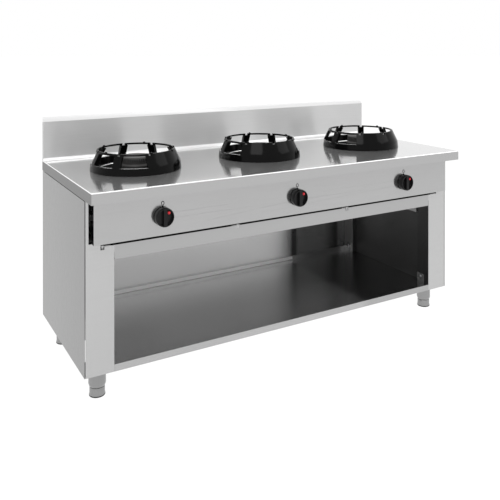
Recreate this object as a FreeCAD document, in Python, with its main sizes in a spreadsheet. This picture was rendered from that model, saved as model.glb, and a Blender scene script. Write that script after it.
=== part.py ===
import FreeCAD, Part
import math
import os

import Sketcher

# Free-standing gas wok range with three burners over an open storage bay.
# +X is to the user's right, +Y to the rear, +Z up. The origin is on the floor, under the middle.
# All lengths are in millimetres and all angles in degrees.

BURNERS = 3
RING_POSTS = 8
OPEN_SECTORS = 6
RING_LUGS = 5
LUG_ANGLE = 57
CROWN_SLOTS = 48
PAST_RING = 1.3
PILOT_ANGLE = 60
PROBE_ANGLE = 25
RUNNERS = BURNERS + 1
DOCUMENT = "WokRange"

# Driving sizes: name, value, what it measures.
SIZES = (
    ("worktop_width", 1800, "worktop, left to right"),
    ("worktop_depth", 750, "worktop, front to back"),
    ("worktop_height", 790, "floor to the worktop's top face"),
    ("edge_depth", 42.5, "worktop's turned-down edge"),
    ("edge_round", 3, "rounding along the worktop's top edge"),
    ("edge_lip", 14, "inward lip under the worktop's edge"),
    ("top_sheet", 2, "worktop sheet"),
    ("burner_pitch", 600, "burner to burner"),
    ("hob_hole_radius", 150, "burner cut-out in the worktop"),
    ("splash_rise", 193, "splashback above the worktop"),
    ("splash_thick", 20, "splashback, front face to back face"),
    ("splash_band", 20, "height of the sloped band at the splashback's top"),
    ("cove_radius", 14, "cove between worktop and splashback"),
    ("body_sheet", 1.5, "folded sheet of the body"),
    ("body_inset", 1, "body side inside the worktop's end"),
    ("body_setback", 87, "body front behind the worktop's front edge"),
    ("body_back_inset", 2, "body back inside the worktop's back edge"),
    ("body_clearance", 106, "floor to the body's underside"),
    ("shadow_gap", 3.5, "gap between the side panels and the worktop"),
    ("seam_gap", 2, "gap between the front frame and a side panel"),
    ("side_fold", 15, "inward fold of a side panel"),
    ("post_width", 110, "leg panel beside the storage bay"),
    ("post_depth", 75, "return of a front leg panel"),
    ("rear_post_depth", 70, "rear corner post, front to back"),
    ("rear_fold", 90, "rear post's fold along the back panel"),
    ("wall_step", 22, "inner wall outboard of the leg panel's edge"),
    ("wall_top", 560, "floor to the inner walls' top"),
    ("bay_top", 519, "floor to the top of the storage bay's mouth"),
    ("rail_top", 572, "floor to the top of the front rail"),
    ("rail_fold", 20, "fold along the front rail's lower edge"),
    ("rail_shelf", 48, "fold along the front rail's upper edge"),
    ("corner_slit", 2, "relief slit in the bay mouth's upper corners"),
    ("corner_slit_height", 26, "height of that slit"),
    ("slot_inset", 59, "end of the tray slot from the body's side"),
    ("cutout_inset", 15, "end of the valve cut-out from the body's side"),
    ("notch_width", 14, "finger notch in the front rail"),
    ("notch_depth", 12, "finger notch, top to bottom"),
    ("notch_reach", 10, "finger notch, front to back"),
    ("shelf_rise", 26.5, "shelf top above the body's underside"),
    ("shelf_gap", 0.3, "clearance round the shelf"),
    ("shelf_inset", 13, "shelf back from the body's back"),
    ("shelf_upstand", 21.5, "upstand at the shelf's rear"),
    ("shelf_fold", 24, "fold under the shelf's front"),
    ("tab_height", 42, "shelf's screw tab"),
    ("tab_length", 45, "shelf's screw tab, front to back"),
    ("shelf_screw_rise", 28, "shelf screw above the shelf"),
    ("shelf_screw_radius", 3, "shelf screw shank"),
    ("shelf_screw_head", 5.5, "radius of the shelf screw's head"),
    ("shelf_screw_cap", 3, "height of that head"),
    ("shelf_screw_length", 7.8, "shelf screw under its head"),
    ("panel_setback", 59, "control panel behind the worktop's front edge"),
    ("panel_inset", 26.5, "control panel's end inside the worktop's end"),
    ("panel_height", 160, "visible height of the control panel"),
    ("panel_fold", 40, "control panel's lower fold"),
    ("panel_top_fold", 26, "control panel's upper fold"),
    ("shaft_hole_radius", 11, "hole for the knob shaft"),
    ("beam_depth", 50, "beam under the worktop's front, front to back"),
    ("beam_inset", 3.5, "that beam's end inside the control panel's"),
    ("side_rail_drop", 93, "height of the bearer on an inner wall"),
    ("side_rail_reach", 17, "bearer's reach into the bay"),
    ("side_rail_start", 90, "bearer's front end behind the body's front"),
    ("cross_rail_setback", 43, "rear cross rail's back from the body's back"),
    ("cross_rail_depth", 30, "rear cross rail, front to back"),
    ("cross_rail_height", 40, "rear cross rail, top to bottom"),
    ("tray_pitch", 560, "drip tray to drip tray"),
    ("tray_gap", 1, "clearance at each side of a tray"),
    ("tray_setback", 26, "drip tray's front behind the front sheet"),
    ("tray_back_gap", 7.5, "drip tray's back before the rear posts"),
    ("tray_rim", 12, "drip tray's rim"),
    ("tray_sheet", 1.2, "drip tray sheet"),
    ("tray_tab", 8, "width of a tray's finger tab"),
    ("runner_plate", 40, "width of a tray runner's top"),
    ("runner_web", 27, "height of a tray runner's web"),
    ("slide_gap", 0.2, "clearance under what lifts or slides"),
    ("base_plate", 3, "corner plate over a leg"),
    ("base_plate_length", 116, "corner plate, front to back"),
    ("leg_inset", 69, "leg axis from the body's side"),
    ("front_leg_setback", 76, "front leg axis from the body's front"),
    ("rear_leg_setback", 84, "rear leg axis from the body's back"),
    ("leg_radius", 32.5, "leg tube"),
    ("leg_wall", 2, "leg tube wall"),
    ("leg_flange", 5.5, "leg's top flange beyond the tube"),
    ("leg_taper", 12, "height of the leg's tapered end"),
    ("leg_plug", 16, "threaded plug in the leg's end"),
    ("stud_radius", 5, "leg's fixing stud"),
    ("stud_length", 20, "leg's fixing stud above its flange"),
    ("nut_across", 17, "leg nut across its flats"),
    ("nut_height", 8.5, "leg nut"),
    ("foot_height", 34, "floor to the leg's lower end"),
    ("foot_radius", 30, "foot at the floor"),
    ("foot_neck", 28.5, "foot under the leg"),
    ("foot_sole", 6, "foot's straight lower part"),
    ("foot_step", 4.5, "height of the foot's taper above that"),
    ("spindle_radius", 10, "foot spindle"),
    ("spindle_length", 58, "foot spindle above the foot"),
    ("running_gap", 0.05, "radial clearance of a shaft that moves"),
    ("knob_rise", 72.5, "knob axis above the control panel's lower edge"),
    ("left_knob_shift", 10, "left knob outboard of its burner"),
    ("knob_radius", 36, "knob"),
    ("knob_depth", 26.5, "knob, front to back"),
    ("knob_gap", 3.5, "knob's back from the control panel"),
    ("knob_rim", 5, "rim round the knob's finger recesses"),
    ("grip_width", 15, "knob's grip bar"),
    ("grip_depth", 12, "finger recess beside the grip bar"),
    ("stem_radius", 4, "valve stem"),
    ("stem_in_knob", 18.5, "valve stem inside the knob"),
    ("stem_in_valve", 24, "valve stem behind the control panel"),
    ("valve_bore_depth", 36, "bore for the stem"),
    ("valve_flange_radius", 17, "valve's flange behind the panel"),
    ("valve_flange", 6, "thickness of that flange"),
    ("valve_radius", 14, "valve barrel"),
    ("saddle_half", 20, "half height of the valve's saddle"),
    ("saddle_reach", 23, "saddle each side of the gas rail"),
    ("manifold_radius", 13.45, "gas rail tube"),
    ("manifold_wall", 2.5, "gas rail wall"),
    ("manifold_cap", 6.5, "thickness of the gas rail's closed end"),
    ("manifold_setback", 49, "gas rail axis behind the body's front"),
    ("manifold_end", 90, "gas rail beyond the first knob"),
    ("manifold_bend", 40, "bend of the gas rail"),
    ("inlet_inset", 155, "gas inlet from the worktop's right end"),
    ("inlet_thread_radius", 13.2, "gas inlet thread"),
    ("inlet_thread_length", 18, "gas inlet thread"),
    ("inlet_hole_radius", 30, "hole for the gas inlet in the back panel"),
    ("outlet_radius", 8, "valve outlet"),
    ("outlet_drop", 27.5, "valve outlet below the knob axis"),
    ("outlet_setback", 29.5, "valve outlet behind the panel sheet"),
    ("pipe_radius", 5, "burner pipe"),
    ("pipe_bend", 16, "burner pipe's bend"),
    ("pipe_height", 594, "floor to the burner pipe's axis"),
    ("injector_radius", 8, "injector holder"),
    ("injector_length", 26, "injector holder"),
    ("injector_collar", 11, "radius of the injector's collar"),
    ("injector_collar_height", 3, "height of that collar"),
    ("injector_bore", 2.5, "radius of the injector's gas way"),
    ("injector_cap", 2.5, "thickness over that gas way"),
    ("yoke_rise", 8, "yoke's floor above the injector's lower end"),
    ("yoke_floor", 6, "thickness of the yoke's floor"),
    ("yoke_half", 26, "half width of the yoke"),
    ("yoke_depth_half", 12, "half of the yoke, front to back"),
    ("bar_offset", 75, "burner bar axis from the burner's middle"),
    ("bar_width", 30, "burner bar, front to back"),
    ("bar_height", 22, "burner bar, top to bottom"),
    ("bar_top", 640, "floor to the burner bars' top"),
    ("burner_flange_radius", 95, "burner body's flange"),
    ("burner_flange", 8, "thickness of that flange"),
    ("column_radius", 50, "burner body's column"),
    ("column_drop", 4, "column's shoulder below the worktop"),
    ("spigot_radius", 40, "spigot that holds the crown"),
    ("spigot_height", 10, "spigot that holds the crown"),
    ("mixer_radius", 14, "mixing tube"),
    ("crown_radius", 65, "burner crown"),
    ("crown_skirt", 70, "radius of the crown's skirt"),
    ("crown_height", 57, "burner crown"),
    ("crown_wall", 7, "burner crown wall"),
    ("crown_gap", 0.3, "crown's clearance on the spigot"),
    ("slot_width", 3, "flame slot"),
    ("slot_height", 12, "flame slot"),
    ("slot_drop", 7, "flame slot's top below the crown's top"),
    ("bowl_sheet", 1.2, "burner bowl sheet"),
    ("bowl_flange", 14, "bowl's flange on the worktop"),
    ("bowl_gap", 0.5, "bowl's clearance in the cut-out"),
    ("bowl_collar", 12, "straight wall at the bowl's rim"),
    ("bowl_depth", 52, "burner bowl"),
    ("bowl_floor_radius", 100, "burner bowl's floor"),
    ("pilot_offset", 78, "pilot and probe from the burner's middle"),
    ("pilot_radius", 5, "pilot tube"),
    ("probe_radius", 3, "flame probe"),
    ("pilot_top", 822, "floor to the pilot's top"),
    ("ring_clearance", 10, "wok ring's foot outside the bowl's flange"),
    ("ring_band_lean", 3, "how much narrower the wok ring is at its band's top"),
    ("ring_band", 30, "wok ring's solid band"),
    ("ring_lean", 28.5, "how much narrower the wok ring is at its rim"),
    ("ring_height", 82.5, "wok ring"),
    ("ring_wall", 7, "wok ring wall"),
    ("ring_foot_wall", 15, "wok ring wall at the worktop"),
    ("ring_bar", 8, "height of the rim's bars"),
    ("ring_gap", 12, "gap between two rim bars"),
    ("post_half", 17, "half width of a wok ring post"),
    ("post_rib", 9, "post's thickness inside the wall"),
    ("lug_height", 4, "lug on the rim"),
    ("lug_half", 5, "half width of a lug"),
    ("lug_inset", 1, "lug inside the rim's faces"),
    ("ring_turn_left", 0, "left ring's shield, turned from 45 degrees right of the front"),
    ("ring_turn_middle", -52, "the same for the middle ring"),
    ("ring_turn_right", -40, "the same for the right ring"),
)


class Dim:
    """A length that carries both its number and the formula that gives it."""

    def __init__(self, number, text):
        self.number = number
        self.text = text

    def __add__(self, other):
        other = as_dim(other)
        return Dim(self.number + other.number, f"({self.text} + {other.text})")

    def __sub__(self, other):
        other = as_dim(other)
        return Dim(self.number - other.number, f"({self.text} - {other.text})")

    def __mul__(self, other):
        other = as_dim(other)
        return Dim(self.number * other.number, f"({self.text} * {other.text})")

    def __truediv__(self, other):
        other = as_dim(other)
        return Dim(self.number / other.number, f"({self.text} / {other.text})")

    def __radd__(self, other):
        return as_dim(other) + self

    def __rsub__(self, other):
        return as_dim(other) - self

    def __rmul__(self, other):
        return as_dim(other) * self

    def __neg__(self):
        return as_dim(0) - self


def as_dim(value):
    """A plain number as a Dim; a Dim as it is."""
    if isinstance(value, Dim):
        return value
    return Dim(float(value), f"({float(value)!r})")


def root(dim):
    """The square root of a Dim."""
    return Dim(math.sqrt(dim.number), f"sqrt({dim.text})")


def make_sheet(document):
    """Put the driving sizes in the document's spreadsheet and return them as Dims."""
    sheet = document.addObject("Spreadsheet::Sheet", "Sizes")
    dims = {}
    for row, (name, value, meaning) in enumerate(SIZES, start=1):
        sheet.set(f"A{row}", meaning)
        sheet.set(f"B{row}", str(value))
        sheet.setAlias(f"B{row}", name)
    document.recompute()
    for name, value, meaning in SIZES:
        dims[name] = Dim(float(sheet.get(name)), f"Sizes.{name}")
    return dims


doc = FreeCAD.newDocument(DOCUMENT)
D = make_sheet(doc)

# Places that several pieces share, each worked out from the driving sizes.
sheet_t = D["body_sheet"]
half_width = D["worktop_width"] / 2
front_edge = -(D["worktop_depth"] / 2)
back_edge = D["worktop_depth"] / 2
top_z = D["worktop_height"]
under_z = top_z - D["edge_depth"]
body_half = half_width - D["body_inset"]
body_front = front_edge + D["body_setback"]
body_back = back_edge - D["body_back_inset"]
body_low = D["body_clearance"]
shell_top = under_z - D["shadow_gap"]
frame_half = body_half - sheet_t - D["seam_gap"]
post_x = body_half - D["post_width"]
post_back = body_front + D["post_depth"]
wall_x = post_x + D["wall_step"]
lip_x = wall_x + sheet_t * 3
rear_post_y = body_back - D["rear_post_depth"]
rear_inner = body_back - sheet_t
plate_low = body_low + sheet_t
plate_top = plate_low + D["base_plate"]
slot_half = body_half - D["slot_inset"]
cutout_half = body_half - D["cutout_inset"]
shelf_top = body_low + D["shelf_rise"]
shelf_half = post_x - D["shelf_gap"]
shelf_back = body_back - D["shelf_inset"]
shelf_screw_z = shelf_top + D["shelf_screw_rise"]
panel_front = front_edge + D["panel_setback"]
panel_inner = panel_front + sheet_t
panel_half = half_width - D["panel_inset"]
panel_low = under_z - D["panel_height"]
knob_z = panel_low + D["knob_rise"]
knob_back = panel_front - D["knob_gap"]
knob_front = knob_back - D["knob_depth"]
manifold_y = body_front + D["manifold_setback"]
outlet_y = panel_inner + D["outlet_setback"]
outlet_z = knob_z - D["outlet_drop"]
injector_z = D["pipe_height"] + D["pipe_bend"]
yoke_z = injector_z + D["yoke_rise"]
yoke_top = yoke_z + D["yoke_floor"]
bar_low = D["bar_top"] - D["bar_height"]
flange_top = D["bar_top"] + D["burner_flange"]
column_top = top_z - D["column_drop"]
crown_low = column_top + D["slide_gap"]
bowl_low = top_z - D["bowl_depth"]
ring_low = top_z + D["slide_gap"]
bowl_rim = D["hob_hole_radius"] + D["bowl_flange"]
ring_inner = bowl_rim + D["ring_clearance"]
ring_base = ring_inner + D["ring_foot_wall"]
ring_band_radius = ring_base - D["ring_band_lean"]
ring_rim = ring_base - D["ring_lean"]
tray_low = D["rail_top"] + sheet_t + D["slide_gap"]
tray_front = body_front + sheet_t + D["tray_setback"]
tray_depth = rear_post_y - D["tray_back_gap"] - tray_front
leg_x = body_half - D["leg_inset"]
front_leg_y = body_front + D["front_leg_setback"]
rear_leg_y = body_back - D["rear_leg_setback"]


def burner_x(number):
    """Where burner, knob and ring of one number stand, left to right from 1."""
    return D["burner_pitch"] * (number - (BURNERS + 1) / 2)


def knob_x(number):
    """Where the knob and valve of one burner stand: the left ones sit a little outboard."""
    if number == 1:
        return burner_x(number) - D["left_knob_shift"]
    return burner_x(number)


def runner_x(index):
    """Where a tray runner stands, left to right from 0."""
    return D["tray_pitch"] * (index - (RUNNERS - 1) / 2)


# Outlines: closed loops of points (across, up). A point with a third value is reached by an
# arc of that radius, and its fourth value says whether the arc turns left (1) or right (-1).


def rectangle(low_a, high_a, low_b, high_b):
    """A rectangle between two values on each sketch axis."""
    return [(low_a, low_b), (high_a, low_b), (high_a, high_b), (low_a, high_b)]


def side_span(side, near, far):
    """The low and high X of something on the right (1) or left (-1) side."""
    if side > 0:
        return near, far
    return -far, -near


def side_outline(side, points):
    """Points given for the right side, mirrored for the left."""
    return [(side * as_dim(across), up) for across, up in points]


def plane_of(body, role):
    """One of a body's own origin planes or axes."""
    return next(item for item in body.Origin.OriginFeatures if item.Role == role)


def bind(thing, path, dim):
    """Tie a property to the formula of a Dim."""
    thing.setExpression(path, as_dim(dim).text)


def constrain(sketch, kind, references, dim):
    """Add one dimension to a sketch, tied to its formula."""
    dim = as_dim(dim)
    index = sketch.addConstraint(Sketcher.Constraint(kind, *references, dim.number))
    if "Sizes." in dim.text:
        sketch.setExpression(f"Constraints[{index}]", dim.text)


def vector(across, up):
    """A sketch point as numbers."""
    return FreeCAD.Vector(as_dim(across).number, as_dim(up).number, 0)


def arc_between(first, last, radius, turn):
    """The arc of a radius from first to last, turning left (1) or right (-1)."""
    chord = last - first
    middle = (first + last) * 0.5
    rise = math.sqrt(max(radius * radius - (chord.Length / 2) ** 2, 0.0))
    normal = FreeCAD.Vector(-chord.y, chord.x, 0).normalize() * turn
    centre = middle + normal * rise
    start, end = (first, last) if turn > 0 else (last, first)
    start_angle = math.atan2(start.y - centre.y, start.x - centre.x)
    end_angle = math.atan2(end.y - centre.y, end.x - centre.x)
    circle = Part.Circle(centre, FreeCAD.Vector(0, 0, 1), radius)
    return Part.ArcOfCircle(circle, start_angle, end_angle)


def draw_loop(sketch, points):
    """Draw a closed loop and fix each of its corners."""
    edges = []
    count = len(points)
    for index, point in enumerate(points):
        following = points[(index + 1) % count]
        first = vector(point[0], point[1])
        last = vector(following[0], following[1])
        if len(following) > 2:
            turn = following[3]
            radius = as_dim(following[2])
            edge = sketch.addGeometry(arc_between(first, last, radius.number, turn))
            constrain(sketch, "Radius", (edge,), radius)
            edges.append((edge, 1, 2) if turn > 0 else (edge, 2, 1))
        else:
            edge = sketch.addGeometry(Part.LineSegment(first, last))
            edges.append((edge, 1, 2))
    for index, point in enumerate(points):
        edge, start, end = edges[index]
        following_edge, following_start, following_end = edges[(index + 1) % count]
        joint = (edge, end, following_edge, following_start)
        sketch.addConstraint(Sketcher.Constraint("Coincident", *joint))
        constrain(sketch, "DistanceX", (-1, 1, edge, start), point[0])
        constrain(sketch, "DistanceY", (-1, 1, edge, start), point[1])


def draw_circle(sketch, across, up, radius):
    """Draw a circle and fix its centre and radius."""
    circle = Part.Circle(vector(across, up), FreeCAD.Vector(0, 0, 1), as_dim(radius).number)
    edge = sketch.addGeometry(circle)
    constrain(sketch, "DistanceX", (-1, 1, edge, 3), across)
    constrain(sketch, "DistanceY", (-1, 1, edge, 3), up)
    constrain(sketch, "Radius", (edge,), radius)


def new_sketch(body, role, loops=(), circles=()):
    """A sketch on one of a body's origin planes."""
    sketch = body.newObject("Sketcher::SketchObject", f"{body.Name}_sketch")
    sketch.AttachmentSupport = [(plane_of(body, role), "")]
    sketch.MapMode = "FlatFace"
    for loop in loops:
        draw_loop(sketch, loop)
    for circle in circles:
        draw_circle(sketch, *circle)
    return sketch


# Each axis has the plane it is square to, and the side that the plane's sketch faces.
LAYER_PLANES = {"X": ("YZ_Plane", 1), "Y": ("XZ_Plane", -1), "Z": ("XY_Plane", 1)}


def layer(body, axis, low, high, loops=(), circles=(), cut=False):
    """Add, or cut, an outline between two places along an axis."""
    role, side = LAYER_PLANES[axis]
    sketch = new_sketch(body, role, loops, circles)
    kind = "Pocket" if cut else "Pad"
    feature = body.newObject(f"PartDesign::{kind}", f"{body.Name}_{kind.lower()}")
    feature.Profile = sketch
    start = high if cut == (side > 0) else low
    bind(sketch, "AttachmentOffset.Base.z", side * as_dim(start))
    bind(feature, "Length", as_dim(high) - low)
    sketch.Visibility = False
    return feature


def turned(body, loop, cut=False):
    """Add, or cut, a profile of (radius, height) turned about the vertical axis."""
    sketch = new_sketch(body, "XZ_Plane", [loop])
    kind = "Groove" if cut else "Revolution"
    feature = body.newObject(f"PartDesign::{kind}", f"{body.Name}_{kind.lower()}")
    feature.Profile = sketch
    feature.ReferenceAxis = (sketch, ["V_Axis"])
    feature.Angle = 360
    return feature


def around(body, feature, count, angle):
    """Repeat a feature about the vertical axis, over an angle in all."""
    pattern = body.newObject("PartDesign::PolarPattern", f"{body.Name}_pattern")
    pattern.Originals = [feature]
    pattern.Axis = (plane_of(body, "Z_Axis"), [""])
    pattern.Angle = angle
    pattern.Occurrences = count
    body.Tip = pattern
    return pattern


NODES = []


def new_body(label, place=(0, 0, 0), turn=None):
    """A sub-part: a body with its label, its place and its turn about the vertical."""
    body = doc.addObject("PartDesign::Body", label)
    body.Label = label
    if turn is not None:
        axis = FreeCAD.Vector(0, 0, 1)
        body.Placement = FreeCAD.Placement(FreeCAD.Vector(), FreeCAD.Rotation(axis, turn.number))
    for letter, value in zip("xyz", place):
        bind(body, f"Placement.Base.{letter}", value)
    NODES.append(body)
    return body


def shaped_feature(label, shape, place):
    """A sub-part whose shape is worked out directly, set in its place."""
    feature = doc.addObject("Part::Feature", label)
    feature.Label = label
    feature.Shape = shape
    for letter, value in zip("xyz", place):
        bind(feature, f"Placement.Base.{letter}", value)
    NODES.append(feature)
    return feature


# Worktop and splashback.


def make_worktop():
    """Folded top with turned-down edges, an inward lip and a cut-out for each burner."""
    body = new_body("worktop")
    wall = D["top_sheet"]
    lip = wall + D["edge_lip"]
    outer = rectangle(-half_width, half_width, front_edge, back_edge)
    inner = rectangle(-half_width + wall, half_width - wall, front_edge + wall, back_edge - wall)
    mouth = rectangle(-half_width + lip, half_width - lip, front_edge + lip, back_edge - lip)
    layer(body, "Z", under_z, top_z, [outer])
    layer(body, "Z", under_z, top_z - wall, [inner], cut=True)
    layer(body, "Z", under_z, under_z + wall, [inner, mouth])
    holes = [(burner_x(number), 0, D["hob_hole_radius"]) for number in range(1, BURNERS + 1)]
    top = layer(body, "Z", top_z - wall, top_z, circles=holes, cut=True)
    doc.recompute()
    fillet = body.newObject("PartDesign::Fillet", "worktop_round")
    fillet.Base = (top, rounded_edges(top.Shape))
    bind(fillet, "Radius", D["edge_round"])


def rounded_edges(shape):
    """Names of the worktop's straight top edges, apart from the one at the splashback."""
    names = []
    for index, edge in enumerate(shape.Edges, start=1):
        box = edge.BoundBox
        on_top = abs(box.ZMin - top_z.number) < 1e-6 and box.ZLength < 1e-6
        straight = edge.Curve.TypeId == "Part::GeomLine"
        at_back = box.YMin > back_edge.number - 1e-6
        if on_top and straight and not at_back:
            names.append(f"Edge{index}")
    return names


def make_splashback():
    """Hollow folded splashback with a sloped top band and a cove at its foot."""
    body = new_body("splashback")
    face = back_edge - D["splash_thick"]
    high = top_z + D["splash_rise"]
    fold = high - D["splash_band"]
    outline = [(face, top_z), (back_edge, top_z), (back_edge, high), (face, fold)]
    layer(body, "X", -half_width, half_width, [outline])
    slope = D["splash_band"] / D["splash_thick"]
    drop = sheet_t * root(slope * slope + 1) - sheet_t * slope
    inside = [
        (face + sheet_t, top_z),
        (back_edge - sheet_t, top_z),
        (back_edge - sheet_t, high - sheet_t * slope * 2 - drop),
        (face + sheet_t, fold - drop),
    ]
    layer(body, "X", -half_width + sheet_t, half_width - sheet_t, [inside], cut=True)
    cove = D["cove_radius"]
    bead = [(face, top_z), (face, top_z + cove), (face - cove, top_z, cove, -1)]
    layer(body, "X", -half_width, half_width, [bead])


# Body.


def make_front_frame():
    """Leg panels joined by the front rail, with the bay mouth, tray slot and valve cut-out."""
    body = new_body("front_frame")
    skin = body_front + sheet_t
    mouth_x = post_x - D["corner_slit"]
    slit_top = D["bay_top"] + D["corner_slit_height"]
    half_outline = [
        (mouth_x, D["bay_top"]),
        (mouth_x, slit_top),
        (post_x, slit_top),
        (post_x, body_low),
        (frame_half, body_low),
        (frame_half, under_z),
        (cutout_half, under_z),
        (cutout_half, panel_low),
        (slot_half, panel_low),
        (slot_half, D["rail_top"]),
    ]
    mirrored = side_outline(-1, reversed(half_outline))
    layer(body, "Y", body_front, skin, [half_outline + mirrored])
    for side in (1, -1):
        edge_low, edge_high = side_span(side, post_x, post_x + sheet_t)
        jamb = rectangle(edge_low, edge_high, body_front, post_back)
        layer(body, "Z", body_low, D["wall_top"], [jamb])
        lip_low, lip_high = side_span(side, post_x, lip_x)
        lip = rectangle(lip_low, lip_high, post_back - sheet_t, post_back)
        layer(body, "Z", plate_top, D["wall_top"], [lip])
    fold = rectangle(-mouth_x, mouth_x, body_front, body_front + D["rail_fold"])
    layer(body, "Z", D["bay_top"], D["bay_top"] + sheet_t, [fold])
    ledge = rectangle(-slot_half, slot_half, body_front, body_front + D["rail_shelf"])
    layer(body, "Z", D["rail_top"] - sheet_t, D["rail_top"], [ledge])
    notches = []
    for index in range(BURNERS):
        left = runner_x(index)
        low = D["rail_top"] - D["notch_depth"]
        notches.append(rectangle(left, left + D["notch_width"], low, D["rail_top"] + sheet_t))
    layer(body, "Y", body_front, body_front + D["notch_reach"], notches, cut=True)
    hole = (post_back - D["tab_length"] / 2, shelf_screw_z, D["shelf_screw_radius"])
    layer(body, "X", -frame_half, frame_half, circles=[hole], cut=True)


def make_side_panel(side, label):
    """Outer side sheet with folds along its bottom, top and back."""
    body = new_body(label)
    outer_low, outer_high = side_span(side, body_half - sheet_t, body_half)
    fold_low, fold_high = side_span(side, body_half - D["side_fold"], body_half)
    skin = rectangle(outer_low, outer_high, body_front, body_back)
    layer(body, "Z", body_low, shell_top, [skin])
    start = body_front + sheet_t * 2
    fold = rectangle(fold_low, fold_high, start, body_back)
    layer(body, "Z", body_low, body_low + sheet_t, [fold])
    layer(body, "Z", shell_top - sheet_t, shell_top, [fold])
    back_fold = rectangle(fold_low, fold_high, body_back - sheet_t, body_back)
    layer(body, "Z", body_low, shell_top, [back_fold])


def make_inner_wall(side, label):
    """Inner wall of the storage bay, between the front and rear posts."""
    body = new_body(label)
    low, high = side_span(side, wall_x, wall_x + sheet_t)
    layer(body, "Z", plate_top, D["wall_top"], [rectangle(low, high, post_back, rear_post_y)])


def make_rear_post(side, label):
    """Folded rear corner post, from the corner plate to the worktop."""
    body = new_body(label)
    far = post_x + D["rear_fold"]
    outline = [
        (lip_x, rear_post_y),
        (post_x, rear_post_y),
        (post_x, rear_inner),
        (far, rear_inner),
        (far, rear_inner - sheet_t),
        (post_x + sheet_t, rear_inner - sheet_t),
        (post_x + sheet_t, rear_post_y + sheet_t),
        (lip_x, rear_post_y + sheet_t),
    ]
    layer(body, "Z", plate_top, under_z, [side_outline(side, outline)])
    hole = (shelf_back - D["tab_length"] / 2, shelf_screw_z, D["shelf_screw_radius"])
    hole_low, hole_high = side_span(side, post_x - sheet_t, post_x + sheet_t * 2)
    layer(body, "X", hole_low, hole_high, circles=[hole], cut=True)


def make_back_panel():
    """Back sheet between the side panels' rear folds, with the gas inlet's hole."""
    body = new_body("back_panel")
    half = body_half - D["side_fold"] - D["shelf_gap"]
    layer(body, "Y", rear_inner, body_back, [rectangle(-half, half, body_low, shell_top)])
    hole = (half_width - D["inlet_inset"], knob_z, D["inlet_hole_radius"])
    layer(body, "Y", rear_inner, body_back, circles=[hole], cut=True)


def make_shelf():
    """Bottom shelf with a front fold, a rear upstand and four screw tabs."""
    body = new_body("bottom_shelf")
    gap = D["shelf_gap"]
    wide = wall_x - gap
    right_side = [
        (shelf_half, body_front),
        (shelf_half, post_back + gap),
        (wide, post_back + gap),
        (wide, rear_post_y - gap),
        (shelf_half, rear_post_y - gap),
        (shelf_half, shelf_back),
    ]
    outline = right_side + side_outline(-1, reversed(right_side))
    layer(body, "Z", shelf_top - sheet_t, shelf_top, [outline])
    skin = rectangle(-shelf_half, shelf_half, body_front, body_front + sheet_t)
    layer(body, "Z", body_low, shelf_top, [skin])
    fold = rectangle(-shelf_half, shelf_half, body_front, body_front + D["shelf_fold"])
    layer(body, "Z", body_low, body_low + sheet_t, [fold])
    rise = shelf_top + D["shelf_upstand"]
    upstand = rectangle(-shelf_half, shelf_half, shelf_back - sheet_t, shelf_back)
    layer(body, "Z", shelf_top - sheet_t, rise, [upstand])
    cap = rectangle(-shelf_half, shelf_half, shelf_back - sheet_t, rear_inner - sheet_t)
    layer(body, "Z", rise - sheet_t, rise, [cap])
    holes = []
    for tab_back in (post_back, shelf_back):
        tabs = []
        for side in (1, -1):
            low, high = side_span(side, shelf_half - sheet_t, shelf_half)
            tabs.append(rectangle(low, high, tab_back - D["tab_length"], tab_back))
        layer(body, "Z", shelf_top - sheet_t, shelf_top + D["tab_height"], tabs)
        holes.append((tab_back - D["tab_length"] / 2, shelf_screw_z, D["shelf_screw_radius"]))
    layer(body, "X", -shelf_half, shelf_half, circles=holes, cut=True)


def make_shelf_screws():
    """Four pan-head screws that hold the shelf's tabs to the posts."""
    body = new_body("shelf_screws")
    face = shelf_half - sheet_t
    places = [post_back - D["tab_length"] / 2, shelf_back - D["tab_length"] / 2]
    heads = [(place, shelf_screw_z, D["shelf_screw_head"]) for place in places]
    shanks = [(place, shelf_screw_z, D["shelf_screw_radius"]) for place in places]
    for side in (1, -1):
        low, high = side_span(side, face - D["shelf_screw_cap"], face)
        layer(body, "X", low, high, circles=heads)
        low, high = side_span(side, face - D["shelf_screw_cap"], face + D["shelf_screw_length"])
        layer(body, "X", low, high, circles=shanks)


def make_control_panel():
    """Open-ended folded panel with a shaft hole for each knob."""
    body = new_body("control_panel")
    skin = rectangle(panel_front, panel_inner, panel_low, under_z)
    layer(body, "X", -panel_half, panel_half, [skin])
    low_fold = rectangle(panel_front, panel_front + D["panel_fold"], panel_low, panel_low + sheet_t)
    layer(body, "X", -panel_half, panel_half, [low_fold])
    fold_back = panel_front + D["panel_top_fold"]
    top_fold = rectangle(panel_front, fold_back, under_z - sheet_t, under_z)
    layer(body, "X", -panel_half, panel_half, [top_fold])
    hole = D["shaft_hole_radius"]
    holes = [(knob_x(number), knob_z, hole) for number in range(1, BURNERS + 1)]
    layer(body, "Y", panel_front, panel_inner, circles=holes, cut=True)


def make_front_beam():
    """Folded beam under the worktop's front that the control panel hangs from."""
    body = new_body("front_beam")
    low = panel_front + sheet_t * 2
    high = low + D["beam_depth"]
    roof = top_z - D["top_sheet"]
    outline = [
        (low, under_z),
        (high, under_z),
        (high, roof),
        (low, roof),
        (low, roof - sheet_t),
        (high - sheet_t, roof - sheet_t),
        (high - sheet_t, under_z + sheet_t),
        (low, under_z + sheet_t),
    ]
    half = panel_half - D["beam_inset"]
    layer(body, "X", -half, half, [outline])


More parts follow.
